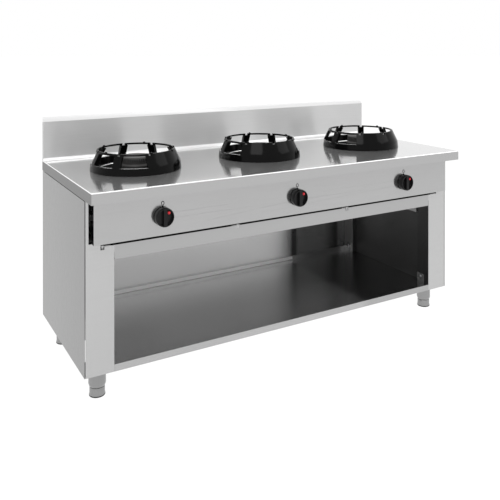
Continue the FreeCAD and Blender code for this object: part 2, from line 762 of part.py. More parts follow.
def make_side_rails():
    """Bearers along the inner walls' tops, one each side."""
    body = new_body("side_rails")
    top = D["wall_top"]
    low = top - D["side_rail_drop"]
    near = wall_x - D["side_rail_reach"]
    outline = [
        (near, low),
        (wall_x, low),
        (wall_x, low + sheet_t),
        (near + sheet_t, low + sheet_t),
        (near + sheet_t, top - sheet_t),
        (wall_x, top - sheet_t),
        (wall_x, top),
        (near, top),
    ]
    loops = [side_outline(side, outline) for side in (1, -1)]
    layer(body, "Y", body_front + D["side_rail_start"], rear_post_y, loops)


def make_cross_rail():
    """Rear rail between the rear posts, under the tray runners."""
    body = new_body("rear_cross_rail")
    high_y = body_back - D["cross_rail_setback"]
    low_y = high_y - D["cross_rail_depth"]
    top = D["rail_top"]
    low = top - D["cross_rail_height"]
    outline = [
        (low_y, low),
        (high_y, low),
        (high_y, low + sheet_t),
        (low_y + sheet_t, low + sheet_t),
        (low_y + sheet_t, top - sheet_t),
        (high_y, top - sheet_t),
        (high_y, top),
        (low_y, top),
    ]
    layer(body, "X", -post_x, post_x, [outline])


def make_tray_runners():
    """Four runners that the drip trays slide on."""
    body = new_body("tray_runners")
    start = body_front + sheet_t
    top = D["rail_top"] + sheet_t
    rail_back = body_back - D["cross_rail_setback"]
    rail_face = rail_back - D["cross_rail_depth"]
    half = D["runner_plate"] / 2
    inner = range(1, RUNNERS - 1)
    plates = [rectangle(runner_x(n) - half, runner_x(n) + half, start, rail_back) for n in inner]
    layer(body, "Z", D["rail_top"], top, plates)
    webs = []
    web_start = body_front + D["rail_shelf"]
    for index in inner:
        middle = runner_x(index)
        webs.append(rectangle(middle - sheet_t / 2, middle + sheet_t / 2, web_start, rail_face))
    layer(body, "Z", D["rail_top"] - D["runner_web"], D["rail_top"], webs)
    outer_x = -runner_x(0)
    foot_x = wall_x - D["side_rail_reach"] / 2
    for side in (1, -1):
        low, high = side_span(side, foot_x, outer_x + half)
        plate = rectangle(low, high, start, rear_post_y)
        layer(body, "Z", D["rail_top"], top, [plate])
        low, high = side_span(side, foot_x, foot_x + sheet_t)
        web = rectangle(low, high, body_front + D["side_rail_start"], rear_post_y)
        layer(body, "Z", D["wall_top"], D["rail_top"], [web])


def make_base_plates():
    """Four corner plates that the legs are bolted to."""
    body = new_body("base_plates")
    loops = []
    length = D["base_plate_length"]
    for side in (1, -1):
        low, high = side_span(side, post_x + sheet_t, body_half - sheet_t)
        loops.append(rectangle(low, high, body_front + sheet_t, body_front + sheet_t + length))
        loops.append(rectangle(low, high, rear_inner - length - sheet_t, rear_inner))
    layer(body, "Z", plate_low, plate_top, loops)
    holes = []
    for place in leg_places():
        holes.append((*place, D["stud_radius"]))
    layer(body, "Z", plate_low, plate_top, circles=holes, cut=True)


# Legs and feet.


def leg_places():
    """The four leg axes: front left, front right, rear left, rear right."""
    rows = (front_leg_y, rear_leg_y)
    return [(side * leg_x, row) for row in rows for side in (-1, 1)]


LEG_NAMES = ("front_left", "front_right", "rear_left", "rear_right")


def make_leg(name, place):
    """Leg tube with a top flange and stud, and a threaded plug at its tapered end."""
    body = new_body(f"leg_{name}", (*place, 0))
    radius = D["leg_radius"]
    bore = D["spindle_radius"] + D["running_gap"]
    low = D["foot_height"]
    seat = plate_low
    inner = radius - D["leg_wall"]
    flange = D["leg_flange"]
    outline = [
        (0, seat - flange),
        (inner, seat - flange),
        (inner, low + D["leg_plug"]),
        (bore, low + D["leg_plug"]),
        (bore, low),
        (D["foot_neck"], low),
        (radius, low + D["leg_taper"]),
        (radius, seat - flange / 2),
        (radius + flange, seat - flange / 2),
        (radius + flange, seat),
        (D["stud_radius"], seat),
        (D["stud_radius"], seat + D["stud_length"]),
        (0, seat + D["stud_length"]),
    ]
    turned(body, outline)


def make_foot(name, place):
    """Adjustable foot with its spindle."""
    body = new_body(f"foot_{name}", (*place, 0))
    top = D["foot_height"] - D["slide_gap"]
    neck = D["foot_neck"]
    outline = [
        (0, 0),
        (D["foot_radius"], 0),
        (D["foot_radius"], D["foot_sole"]),
        (neck, D["foot_sole"] + D["foot_step"]),
        (neck, top),
        (D["spindle_radius"], top),
        (D["spindle_radius"], top + D["spindle_length"]),
        (0, top + D["spindle_length"]),
    ]
    turned(body, outline)


def make_leg_nuts():
    """A hexagon nut on each leg's stud, over its corner plate."""
    body = new_body("leg_nuts")
    corner = D["nut_across"] / math.sqrt(3)
    flat = D["nut_across"] / 2
    loops = []
    for across, up in leg_places():
        loops.append(
            [
                (across + corner, up),
                (across + corner / 2, up + flat),
                (across - corner / 2, up + flat),
                (across - corner, up),
                (across - corner / 2, up - flat),
                (across + corner / 2, up - flat),
            ]
        )
    bores = [(*place, D["stud_radius"]) for place in leg_places()]
    layer(body, "Z", plate_top, plate_top + D["nut_height"], loops, bores)


# Controls.


def make_valve(number):
    """Gas valve: flange and barrel behind the panel, saddle round the gas rail, outlet."""
    body = new_body(f"gas_valve_{number}", (knob_x(number), 0, knob_z))
    flange_back = panel_inner + D["valve_flange"]
    saddle_low = manifold_y - D["saddle_reach"]
    layer(body, "Y", panel_inner, flange_back, circles=[(0, 0, D["valve_flange_radius"])])
    layer(body, "Y", flange_back, saddle_low, circles=[(0, 0, D["valve_radius"])])
    half = D["valve_flange_radius"]
    tall = D["saddle_half"]
    block = rectangle(-half, half, -tall, tall)
    layer(body, "Y", saddle_low, manifold_y + D["saddle_reach"], [block])
    outlet = (0, outlet_y, D["outlet_radius"])
    layer(body, "Z", -D["outlet_drop"], as_dim(0), circles=[outlet])
    bore_back = panel_inner + D["valve_bore_depth"]
    bore = D["stem_radius"] + D["running_gap"]
    layer(body, "Y", panel_inner, bore_back, circles=[(0, 0, bore)], cut=True)
    tunnel = (manifold_y, 0, D["manifold_radius"] + D["running_gap"])
    layer(body, "X", -half, half, circles=[tunnel], cut=True)


def make_stem(number):
    """Valve stem, from inside the valve to inside the knob."""
    body = new_body(f"valve_stem_{number}", (knob_x(number), 0, knob_z))
    low = knob_back - D["stem_in_knob"]
    high = panel_inner + D["stem_in_valve"]
    layer(body, "Y", low, high, circles=[(0, 0, D["stem_radius"])])


def make_knob(number):
    """Round knob with a grip bar between two finger recesses."""
    body = new_body(f"knob_{number}", (knob_x(number), 0, knob_z))
    layer(body, "Y", knob_front, knob_back, circles=[(0, 0, D["knob_radius"])])
    inner = D["knob_radius"] - D["knob_rim"]
    half = D["grip_width"] / 2
    tall = root(inner * inner - half * half)
    recesses = [
        [(half, tall), (half, -tall), (half, tall, inner, 1)],
        [(-half, -tall), (-half, tall), (-half, -tall, inner, 1)],
    ]
    for recess in recesses:
        loop = [recess[2], recess[1]]
        layer(body, "Y", knob_front, knob_front + D["grip_depth"], [loop], cut=True)
    bore = D["stem_radius"] + D["running_gap"]
    bore_low = knob_back - D["stem_in_knob"] - D["slide_gap"]
    layer(body, "Y", bore_low, knob_back, circles=[(0, 0, bore)], cut=True)


# Gas supply.


def tube_along(points, radius):
    """A round bar along straight runs joined by tangent arcs: points, each with its bend."""
    edges = []
    start = points[0][0]
    for index in range(1, len(points) - 1):
        corner, bend = points[index]
        before = (corner - points[index - 1][0]).normalize()
        after = (points[index + 1][0] - corner).normalize()
        enter = corner - before * bend
        leave = corner + after * bend
        centre = enter + after * bend
        middle = centre - (after - before).normalize() * bend
        edges.append(Part.LineSegment(start, enter).toShape())
        edges.append(Part.Arc(enter, middle, leave).toShape())
        start = leave
    edges.append(Part.LineSegment(start, points[-1][0]).toShape())
    path = Part.Wire(edges)
    direction = points[1][0] - points[0][0]
    section = Part.Wire(Part.Circle(points[0][0], direction, radius).toShape())
    return path.makePipeShell([section], True, True)


def make_manifold():
    """Gas rail behind the control panel, turned to the rear and out through the back."""
    left = (burner_x(1) - D["manifold_end"]).number
    right = (half_width - D["inlet_inset"]).number
    row = manifold_y.number
    radius = D["manifold_radius"].number
    thread = D["inlet_thread_radius"].number
    bore = radius - D["manifold_wall"].number
    end = back_edge.number - D["body_sheet"].number
    thread_start = end - D["inlet_thread_length"].number
    bend = D["manifold_bend"].number
    corner = FreeCAD.Vector(right, row, 0)
    start = FreeCAD.Vector(left, row, 0)
    last = FreeCAD.Vector(right, thread_start, 0)
    outer = tube_along([(start, 0), (corner, bend), (last, 0)], radius)
    rear = FreeCAD.Vector(0, 1, 0)
    outer = outer.fuse(Part.makeCylinder(thread, end - thread_start, last, rear))
    cap = FreeCAD.Vector(left + D["manifold_cap"].number, row, 0)
    inner_end = FreeCAD.Vector(right, end, 0)
    inner = tube_along([(cap, 0), (corner, bend), (inner_end, 0)], bore)
    shaped_feature("gas_manifold", outer.cut(inner).removeSplitter(), (0, 0, knob_z))


def make_burner_pipe(number):
    """Pipe from a valve's outlet, down and back under its burner."""
    row = outlet_y.number
    low = D["pipe_height"].number
    high = outlet_z.number
    bend = D["pipe_bend"].number
    start = (knob_x(number) - burner_x(number)).number
    top = FreeCAD.Vector(start, row, high)
    first = FreeCAD.Vector(start, row, low)
    second = FreeCAD.Vector(0, 0, low)
    last = FreeCAD.Vector(0, 0, injector_z.number)
    shape = bent_pipe([top, first, second, last], bend, D["pipe_radius"].number)
    shaped_feature(f"burner_pipe_{number}", shape, (burner_x(number), 0, 0))


def bent_pipe(corners, bend, radius):
    """A pipe through square corners whose last bend ends the pipe."""
    top, first, second, last = corners
    down = (first - top).normalize()
    back = (second - first).normalize()
    rise = (last - second).normalize()
    chord = bend * (1 - math.sqrt(0.5))
    first_in = first - down * bend
    first_out = first + back * bend
    first_middle = first + (back - down) * chord
    second_in = second - back * bend
    second_middle = second + (rise - back) * chord
    edges = [
        Part.LineSegment(top, first_in).toShape(),
        Part.Arc(first_in, first_middle, first_out).toShape(),
        Part.LineSegment(first_out, second_in).toShape(),
        Part.Arc(second_in, second_middle, last).toShape(),
    ]
    section = Part.Wire(Part.Circle(top, down, radius).toShape())
    return Part.Wire(edges).makePipeShell([section], True, True)


def make_injectors():
    """Injector holders under the three burners, each in its yoke."""
    body = new_body("injectors")
    numbers = range(1, BURNERS + 1)
    high = injector_z + D["injector_length"]
    stems = [(burner_x(number), 0, D["injector_radius"]) for number in numbers]
    collars = [(burner_x(number), 0, D["injector_collar"]) for number in numbers]
    bores = [(burner_x(number), 0, D["injector_bore"]) for number in numbers]
    layer(body, "Z", injector_z, high, circles=stems)
    layer(body, "Z", yoke_top, yoke_top + D["injector_collar_height"], circles=collars)
    layer(body, "Z", injector_z, high - D["injector_cap"], circles=bores, cut=True)


# Burners.


def make_burner_bars():
    """Two folded bars across the body that carry the burners."""
    body = new_body("burner_bars")
    loops = []
    top = D["bar_top"]
    for middle in (-D["bar_offset"], D["bar_offset"]):
        low_y = middle - D["bar_width"] / 2
        high_y = middle + D["bar_width"] / 2
        loops.append(
            [
                (low_y, bar_low),
                (low_y + sheet_t, bar_low),
                (low_y + sheet_t, top - sheet_t),
                (high_y - sheet_t, top - sheet_t),
                (high_y - sheet_t, bar_low),
                (high_y, bar_low),
                (high_y, top),
                (low_y, top),
            ]
        )
    layer(body, "X", -body_half + sheet_t, body_half - sheet_t, loops)


def make_burner_body(number):
    """Cast burner body: yoke, mixing tube, flange on the bars, column and spigot."""
    body = new_body(f"burner_body_{number}", (burner_x(number), 0, 0))
    mixer = D["mixer_radius"]
    bell = mixer + D["burner_flange"]
    low = D["bar_top"]
    chamber = D["spigot_radius"] - D["crown_wall"]
    throat = (column_top + low) / 2
    outline = [
        (mixer, low - D["burner_flange"]),
        (bell, low - D["burner_flange"]),
        (bell, low),
        (D["burner_flange_radius"], low),
        (D["burner_flange_radius"], flange_top),
        (D["column_radius"], flange_top),
        (D["column_radius"], column_top),
        (D["spigot_radius"], column_top),
        (D["spigot_radius"], column_top + D["spigot_height"]),
        (chamber, column_top + D["spigot_height"]),
        (chamber, throat),
        (mixer, throat - D["mixer_radius"]),
    ]
    turned(body, outline)
    half = D["yoke_half"]
    leg = D["yoke_floor"]
    yoke = [
        (-half, low),
        (-half, yoke_z),
        (half, yoke_z),
        (half, low),
        (half - leg, low),
        (half - leg, yoke_top),
        (-half + leg, yoke_top),
        (-half + leg, low),
    ]
    layer(body, "Y", -D["yoke_depth_half"], D["yoke_depth_half"], [yoke])
    hole = (0, 0, D["injector_radius"])
    layer(body, "Z", yoke_z, yoke_top, circles=[hole], cut=True)


def pilot_place(angle):
    """A place beside the burner's column, at an angle left of the right-hand side."""
    turn = math.radians(angle)
    return D["pilot_offset"] * math.cos(turn), D["pilot_offset"] * math.sin(turn)


def make_bowl(number):
    """Pressed bowl hung in the worktop, with holes for column, pilot and probe."""
    body = new_body(f"burner_bowl_{number}", (burner_x(number), 0, 0))
    sheet = D["bowl_sheet"]
    radius = D["hob_hole_radius"] - D["bowl_gap"]
    bend = top_z - D["bowl_collar"]
    floor = D["bowl_floor_radius"]
    hole = D["column_radius"] + D["crown_gap"]
    outline = [
        (hole, bowl_low),
        (floor, bowl_low),
        (radius, bend),
        (radius, top_z),
        (bowl_rim, top_z),
        (bowl_rim, top_z + sheet),
        (radius - sheet, top_z + sheet),
        (radius - sheet, bend + sheet / 2),
        (floor - sheet / 2, bowl_low + sheet),
        (hole, bowl_low + sheet),
    ]
    turned(body, outline)
    holes = []
    for angle, size in ((PILOT_ANGLE, D["pilot_radius"]), (PROBE_ANGLE, D["probe_radius"])):
        holes.append((*pilot_place(angle), size + D["crown_gap"]))
    layer(body, "Z", bowl_low, bowl_low + sheet, circles=holes, cut=True)


def make_crown(number):
    """Burner crown: a capped ring with flame slots all round."""
    body = new_body(f"burner_crown_{number}", (burner_x(number), 0, crown_low))
    bore = D["spigot_radius"] + D["crown_gap"]
    high = D["crown_height"]
    wall = D["crown_wall"]
    step = high / 2
    seat = D["spigot_height"] + D["crown_gap"]
    chamber = D["crown_radius"] - wall
    outline = [
        (bore, 0),
        (D["crown_skirt"], 0),
        (D["crown_skirt"], step - wall),
        (D["crown_radius"], step),
        (D["crown_radius"], high - wall),
        (chamber, high),
        (0, high),
        (0, high - wall),
        (chamber, high - wall * 2),
        (chamber, seat + wall),
        (bore, seat),
    ]
    turned(body, outline)
    half = D["slot_width"] / 2
    top = high - D["slot_drop"]
    reach = D["crown_skirt"] + wall
    slot = rectangle(chamber - wall, reach, -half, half)
    first = layer(body, "Z", top - D["slot_height"], top, [slot], cut=True)
    around(body, first, CROWN_SLOTS, 360)


def make_wok_ring(number, turn):
    """Cast wok ring: solid band, eight posts, six windows, a shield and split rim bars."""
    body = new_body(f"wok_ring_{number}", (burner_x(number), 0, ring_low), turn)
    high = D["ring_height"]
    band = D["ring_band"]
    wall = D["ring_wall"]
    outline = [
        (ring_inner, 0),
        (ring_base, 0),
        (ring_band_radius, band),
        (ring_rim, high),
        (ring_rim - wall, high),
        (ring_band_radius - wall, band),
    ]
    turned(body, outline)
    half = D["post_half"]
    bar_low_z = high - D["ring_bar"]
    rib = [
        (ring_band_radius - wall / 2, band),
        (ring_rim - wall / 2, bar_low_z),
        (ring_rim - wall - D["post_rib"], bar_low_z),
        (ring_band_radius - wall - D["post_rib"], band),
        (ring_inner, as_dim(0)),
        (ring_inner + D["ring_foot_wall"] / 2, as_dim(0)),
    ]
    around(body, layer(body, "Y", -half, half, [rib]), RING_POSTS, 360)
    lug_turn = math.radians(LUG_ANGLE)
    cosine = math.cos(lug_turn)
    sine = math.sin(lug_turn)
    near = ring_rim - wall + D["lug_inset"]
    far = ring_rim - D["lug_inset"]
    corners = ((near, -1), (far, -1), (far, 1), (near, 1))
    lug = []
    for along, side in corners:
        across = D["lug_half"] * side
        lug.append((along * cosine - across * sine, along * sine + across * cosine))
    first_lug = layer(body, "Z", bar_low_z, high + D["lug_height"], [lug])
    around(body, first_lug, RING_LUGS, 360)
    reach = ring_base * PAST_RING
    sector = 2 * math.pi / RING_POSTS
    window = [
        (half / math.tan(sector / 2), half),
        (reach, half),
        (reach * math.cos(sector) + half * math.sin(sector),
         reach * math.sin(sector) - half * math.cos(sector)),
    ]
    opening = layer(body, "Z", band, bar_low_z, [window], cut=True)
    around(body, opening, OPEN_SECTORS, (OPEN_SECTORS - 1) * 360 / RING_POSTS)
    gap = D["ring_gap"] / 2
    split = rectangle(ring_rim - wall * 2, reach, -gap, gap)
    first = layer(body, "Z", bar_low_z, high + D["lug_height"], [split], cut=True)
    around(body, first, RING_POSTS, 360)


def make_uprights(label, angle, radius):
    """One upright tube beside each burner, standing on the burner body's flange."""
    body = new_body(label)
    across, up = pilot_place(angle)
    circles = [(burner_x(n) + across, up, radius) for n in range(1, BURNERS + 1)]
    layer(body, "Z", flange_top, D["pilot_top"], circles=circles)


# Drip trays.


def make_drip_tray(number):
    """Shallow drip tray with a finger tab that hangs in its notch."""
    middle = (runner_x(number - 1) + runner_x(number)) / 2
    body = new_body(f"drip_tray_{number}", (middle, tray_front, tray_low))
    half = D["tray_pitch"] / 2 - D["tray_gap"]
    wall = D["tray_sheet"]
    layer(body, "Z", as_dim(0), D["tray_rim"], [rectangle(-half, half, as_dim(0), tray_depth)])
    inside = rectangle(-half + wall, half - wall, wall, tray_depth - wall)
    layer(body, "Z", wall, D["tray_rim"], [inside], cut=True)
    tab_middle = D["notch_width"] / 2 - D["tray_pitch"] / 2
    tab_low = tab_middle - D["tray_tab"] / 2
    tab_high = tab_middle + D["tray_tab"] / 2
    face = body_front - tray_front
    bridge = rectangle(tab_low, tab_high, face, as_dim(0))
    layer(body, "Z", as_dim(0), wall * 2, [bridge])
    hook = rectangle(tab_low, tab_high, face, face + wall)
    drop = D["notch_depth"] + sheet_t + D["slide_gap"] - D["tray_gap"]
    layer(body, "Z", -drop, wall * 2, [hook])


def build():
    """Make every sub-part."""
    make_worktop()
    make_splashback()
    make_front_frame()
    make_side_panel(-1, "side_panel_left")
    make_side_panel(1, "side_panel_right")
    make_inner_wall(-1, "inner_wall_left")
    make_inner_wall(1, "inner_wall_right")
    make_rear_post(-1, "rear_post_left")
    make_rear_post(1, "rear_post_right")
    make_back_panel()
    make_shelf()
    make_shelf_screws()
    make_control_panel()
    make_front_beam()
    make_side_rails()
    make_cross_rail()
    make_tray_runners()
    make_base_plates()
    for name, place in zip(LEG_NAMES, leg_places()):
        make_leg(name, place)
        make_foot(name, place)
    make_leg_nuts()
    make_manifold()
    make_injectors()
    make_burner_bars()
    make_uprights("pilot_burners", PILOT_ANGLE, D["pilot_radius"])
    make_uprights("flame_probes", PROBE_ANGLE, D["probe_radius"])
    turns = (D["ring_turn_left"], D["ring_turn_middle"], D["ring_turn_right"])
    for number, turn in enumerate(turns, start=1):
        make_valve(number)
        make_stem(number)
        make_knob(number)
        make_burner_pipe(number)
        make_burner_body(number)
        make_bowl(number)
        make_crown(number)
        make_wok_ring(number, turn)
        make_drip_tray(number)


def check(document):
    """Stop if a feature failed, a cut removed nothing, or a sub-part is not sound."""
    for item in document.Objects:
        if "Invalid" in item.State or "Error" in item.State:
            raise RuntimeError(f"{item.Label} did not compute: {item.State}")
        if item.TypeId in ("PartDesign::Pocket", "PartDesign::Groove"):
            if item.Shape.Volume > item.BaseFeature.Shape.Volume - 1e-3:
                raise RuntimeError(f"{item.Label} cuts nothing")
    for node in NODES:
        if node.Shape.isNull() or not node.Shape.isValid():
            raise RuntimeError(f"{node.Label} has no sound shape")


def export():
    """Write each sub-part to its own file."""
    os.makedirs("parts", exist_ok=True)
    for node in NODES:
        node.Shape.exportStep(f"parts/{node.Label}.step")
        print(f"{node.Label}: {node.Shape.Volume / 1000:.1f} cm3, {len(node.Shape.Solids)} solid(s)")


build()
doc.recompute()
check(doc)
export()
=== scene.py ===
"""Looks of a free-standing gas wok range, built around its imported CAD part.

Each sub-assembly of the range is a class that builds its own meshes, in metres, in the part's frame:
+X to the user's right, +Y to the rear, +Z up, with the origin on the floor under the middle.
"""

from __future__ import annotations

import logging
import math
from collections.abc import Callable, Iterable, Sequence
from dataclasses import dataclass, field
from enum import Enum

import bmesh
import bpy
from mathutils import Matrix, Vector

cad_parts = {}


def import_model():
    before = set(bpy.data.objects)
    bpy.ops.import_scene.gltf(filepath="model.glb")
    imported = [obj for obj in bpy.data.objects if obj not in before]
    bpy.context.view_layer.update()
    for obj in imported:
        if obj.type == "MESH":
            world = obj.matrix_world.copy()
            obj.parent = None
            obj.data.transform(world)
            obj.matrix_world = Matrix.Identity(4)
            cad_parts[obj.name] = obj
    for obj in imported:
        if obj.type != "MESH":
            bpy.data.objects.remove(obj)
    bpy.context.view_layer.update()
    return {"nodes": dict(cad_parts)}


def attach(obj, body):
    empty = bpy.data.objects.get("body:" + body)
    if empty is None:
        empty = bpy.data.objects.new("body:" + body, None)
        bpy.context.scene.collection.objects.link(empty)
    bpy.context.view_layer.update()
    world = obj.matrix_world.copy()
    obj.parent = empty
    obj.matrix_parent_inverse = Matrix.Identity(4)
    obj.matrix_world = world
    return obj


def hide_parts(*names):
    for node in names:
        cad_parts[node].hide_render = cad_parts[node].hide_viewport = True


log = logging.getLogger("wok_range")

BURNER_X = (-0.6, 0.0, 0.6)
KNOB_X = (-0.61, 0.0, 0.6)
LEG_PLACES = {
    "front_left": (-0.83, -0.212),
    "front_right": (0.83, -0.212),
    "rear_left": (-0.83, 0.289),
    "rear_right": (0.83, 0.289),
}
SHARP = math.radians(32)


class Slot(Enum):
    """The record's material slots."""

    STEEL = "stainless_steel"
    RING = "ring_iron"
    BURNER = "burner_iron"
    BOWL = "bowl_enamel"
    KNOB = "knob_plastic"
    BRASS = "brass"
    ZINC = "zinc_steel"
    PIPE = "pipe_aluminium"
    INNER = "inner_steel"
    PILOT = "pilot_steel"


class Grain(Enum):
    """Which way a sheet was brushed: how far its noise is squeezed along X, Y and Z."""

    ALONG_X = (1.0, 60.0, 60.0)
    ALONG_Y = (60.0, 1.0, 60.0)
    ALONG_Z = (60.0, 60.0, 1.0)


# Shader building.


class Signal:
    """One shader value. Python's operators add the Math nodes that work on it."""

    def __init__(self, recipe: Recipe, socket: bpy.types.NodeSocket) -> None:
        """Wrap a socket of a recipe's node tree."""
        self.recipe = recipe
        self.socket = socket

    def _math(self, operation: str, first: Signal | float, second: Signal | float) -> Signal:
        """Add one Math node.

        Args:
            operation: the node's operation.
            first: its first operand.
            second: its second operand.

        Returns:
            The node's result.
        """
        return self.recipe.add("ShaderNodeMath", {"operation": operation}, {0: first, 1: second})

    def __add__(self, other: Signal | float) -> Signal:
        """Return the sum."""
        return self._math("ADD", self, other)

    def __radd__(self, other: float) -> Signal:
        """Return the sum."""
        return self._math("ADD", other, self)

    def __sub__(self, other: Signal | float) -> Signal:
        """Return the difference."""
        return self._math("SUBTRACT", self, other)

    def __rsub__(self, other: float) -> Signal:
        """Return the difference."""
        return self._math("SUBTRACT", other, self)

    def __mul__(self, other: Signal | float) -> Signal:
        """Return the product."""
        return self._math("MULTIPLY", self, other)

    def __rmul__(self, other: float) -> Signal:
        """Return the product."""
        return self._math("MULTIPLY", other, self)


class Recipe:
    """A material being put together: a Principled shader and the nodes that feed it."""

    def __init__(self, name: str) -> None:
        """Start a material of this name."""
        self.material = bpy.data.materials.new(name)
        self.material.use_nodes = True
        self.tree = self.material.node_tree
        self.shader = self.tree.nodes["Principled BSDF"]

    def feed(self, socket: bpy.types.NodeSocket, value: object) -> None:
        """Link a signal to a socket, or set a plain value on it.

        Args:
            socket: the input to feed.
            value: a Signal, a number or a tuple.
        """
        if isinstance(value, Signal):
            self.tree.links.new(value.socket, socket)
        else:
            socket.default_value = value

    def add(
        self,
        kind: str,
        settings: dict[str, object] | None = None,
        inputs: dict[int | str, object] | None = None,
        output: int | str = 0,
    ) -> Signal:
        """Add one node.

        Args:
            kind: the node's type.
            settings: its properties, set first; "stops" holds a ramp's (position, grey) pairs.
            inputs: the values or signals of its sockets.
            output: which result to return.

        Returns:
            The chosen output.
        """
        node = self.tree.nodes.new(kind)
        for key, value in (settings or {}).items():
            if key == "stops":
                self._set_stops(node, value)
            else:
                setattr(node, key, value)
        for key, value in (inputs or {}).items():
            self.feed(node.inputs[key], value)
        return Signal(self, node.outputs[output])

    @staticmethod
    def _set_stops(node: bpy.types.Node, stops: Sequence[tuple[float, float]]) -> None:
        """Give a ramp its stops.

        Args:
            node: the ramp.
            stops: positions and grey levels, in order.
        """
        elements = node.color_ramp.elements
        while len(elements) < len(stops):
            elements.new(0.5)
        for element, (position, grey) in zip(elements, stops):
            element.position = position
            element.color = (grey, grey, grey, 1.0)

    def place(self) -> Signal:
        """Return the point on the piece, in its own frame."""
        return self.add("ShaderNodeTexCoord", output="Object")

    def noise(
        self,
        scale: float,
        stretch: tuple[float, float, float] = (1.0, 1.0, 1.0),
        detail: float = 3.0,
        rough: float = 0.5,
    ) -> Signal:
        """Return a noise pattern.

        Args:
            scale: features to the metre.
            stretch: how much finer the pattern is along each axis.
            detail: octaves.
            rough: strength of the finer octaves.

        Returns:
            A value from 0 to 1.
        """
        mapped = self.add(
            "ShaderNodeMapping", inputs={"Vector": self.place(), "Scale": stretch}
        )
        inputs = {"Vector": mapped, "Scale": scale, "Detail": detail, "Roughness": rough}
        return self.add("ShaderNodeTexNoise", inputs=inputs)

    def ramp(self, value: Signal, *stops: tuple[float, float]) -> Signal:
        """Return a value passed through a ramp of grey stops."""
        return self.add("ShaderNodeValToRGB", {"stops": stops}, {"Fac": value})

    def blend(self, share: Signal, low: tuple[float, ...], high: tuple[float, ...]) -> Signal:
        """Return a colour between two.

        Args:
            share: 0 for the first colour, 1 for the second.
            low: the first colour.
            high: the second colour.

        Returns:
            The colour.
        """
        settings = {"data_type": "RGBA"}
        inputs = {0: share, 6: (*low, 1.0), 7: (*high, 1.0)}
        return self.add("ShaderNodeMix", settings, inputs, 2)

    def axis(self, name: str) -> Signal:
        """Return one coordinate of the point on the piece: X, Y or Z."""
        return self.add("ShaderNodeSeparateXYZ", inputs={0: self.place()}, output=name)

    def facing(self, name: str) -> Signal:
        """Return how far the surface faces along an axis: 1 along it and -1 against it."""
        normal = self.add("ShaderNodeTexCoord", output="Normal")
        return self.add("ShaderNodeSeparateXYZ", inputs={0: normal}, output=name)

    def rise(self, value: Signal, low: float, high: float) -> Signal:
        """Return 0 up to one value and 1 beyond another, which may be the lower one."""
        inputs = {"Value": value, "From Min": low, "From Max": high}
        return self.add("ShaderNodeMapRange", inputs=inputs)

    def region(self, bounds: Sequence[tuple[str, float, float]], edge: float) -> Signal:
        """Return 1 inside a block of the part's space and 0 outside it.

        Args:
            bounds: an axis, its lower and its upper bound, for each axis that counts.
            edge: how wide the change is.

        Returns:
            The share.
        """
        share = None
        for name, low, high in bounds:
            place = self.axis(name)
            inside = self.rise(place, low - edge, low) * self.rise(place, high + edge, high)
            share = inside if share is None else share * inside
        return share

    def cover(self, share: Signal, under: Signal, over: tuple[float, ...]) -> Signal:
        """Return a colour with another one laid over it, by a share from 0 to 1."""
        inputs = {0: share, 6: under, 7: (*over, 1.0)}
        return self.add("ShaderNodeMix", {"data_type": "RGBA"}, inputs, 2)

    def bump(self, height: Signal, strength: float, distance: float) -> Signal:
        """Return a normal bent by a height pattern.

        Args:
            height: the pattern.
            strength: how much of it shows.
            distance: its depth in metres.

        Returns:
            The normal.
        """
        inputs = {"Height": height, "Strength": strength, "Distance": distance}
        return self.add("ShaderNodeBump", inputs=inputs)

    def finish(self, **sockets: object) -> bpy.types.Material:
        """Feed the shader's sockets, named with underscores for spaces, and return the material."""
        for key, value in sockets.items():
            self.feed(self.shader.inputs[key.replace("_", " ")], value)
        return self.material


Grey = tuple[float, float, float]


def grey(level: float, warmth: float = 0.0) -> Grey:
    """Return a grey colour, a little warm if asked."""
    return (level * (1 + warmth), level, level * (1 - warmth))


class Finish:
    """Base of the finishes: each makes its material once."""

    made: dict[str, bpy.types.Material] = {}
    name: str

    def build(self) -> bpy.types.Material:
        """Make the material."""
        raise NotImplementedError

    def material(self) -> bpy.types.Material:
        """Return the finish's material, made at first use."""
        if self.name not in Finish.made:
            Finish.made[self.name] = self.build()
        return Finish.made[self.name]


@dataclass(frozen=True)
class Patch:
    """A fold, edge or strip of a sheet, or just its front face, painted in a tone of its own; most patches
    are painted light or shade.
    """

    tone: float
    bounds: tuple[tuple[str, float, float], ...]
    roughness: float = 0.0
    edge: float = 0.0004
    front_only: bool = False


@dataclass(frozen=True)
class BrushedSteel(Finish):
    """Stainless sheet with fine brush lines, faint cloudiness and small scuffs, and patches of painted
    light and shade over its colour.
    """

    name: str
    tone: float = 0.62
    grain: Grain = Grain.ALONG_X
    roughness: float = 0.3
    smear: float = 0.0
    metallic: float = 0.9
    patches: tuple[Patch, ...] = ()

    def build(self) -> bpy.types.Material:
        """Make the brushed material. A smear spreads its reflections across the brush lines."""
        recipe = Recipe(self.name)
        lines = recipe.noise(9.0, self.grain.value, 4.0, 0.65)
        cloud = recipe.noise(1.7, detail=2.0)
        share = recipe.ramp(lines * 0.6 + cloud * 0.4, (0.3, 0.0), (0.7, 1.0))
        colour = recipe.blend(share, grey(self.tone * 0.95), grey(self.tone * 1.05))
        rough = lines * 0.05 + cloud * 0.03 + (self.roughness - 0.04)
        metal = self.metallic
        # Each patch paints its tone over the sheet's colour and makes it fully metallic there; most are
        # painted light or shade.
        for patch in self.patches:
            share = recipe.region(patch.bounds, patch.edge)
            if patch.front_only:
                share = share * recipe.rise(recipe.facing("Y"), 0.0, -0.5)
            colour = recipe.cover(share, colour, grey(patch.tone))
            rough = rough + share * patch.roughness
            metal = share * (1.0 - self.metallic) + metal
        return recipe.finish(
            Base_Color=colour,
            Metallic=metal,
            Roughness=rough,
            Anisotropic=self.smear,
            Anisotropic_Rotation=0.25 if self.smear else 0.0,
            Normal=recipe.bump(lines, 0.05, 0.0003),
        )


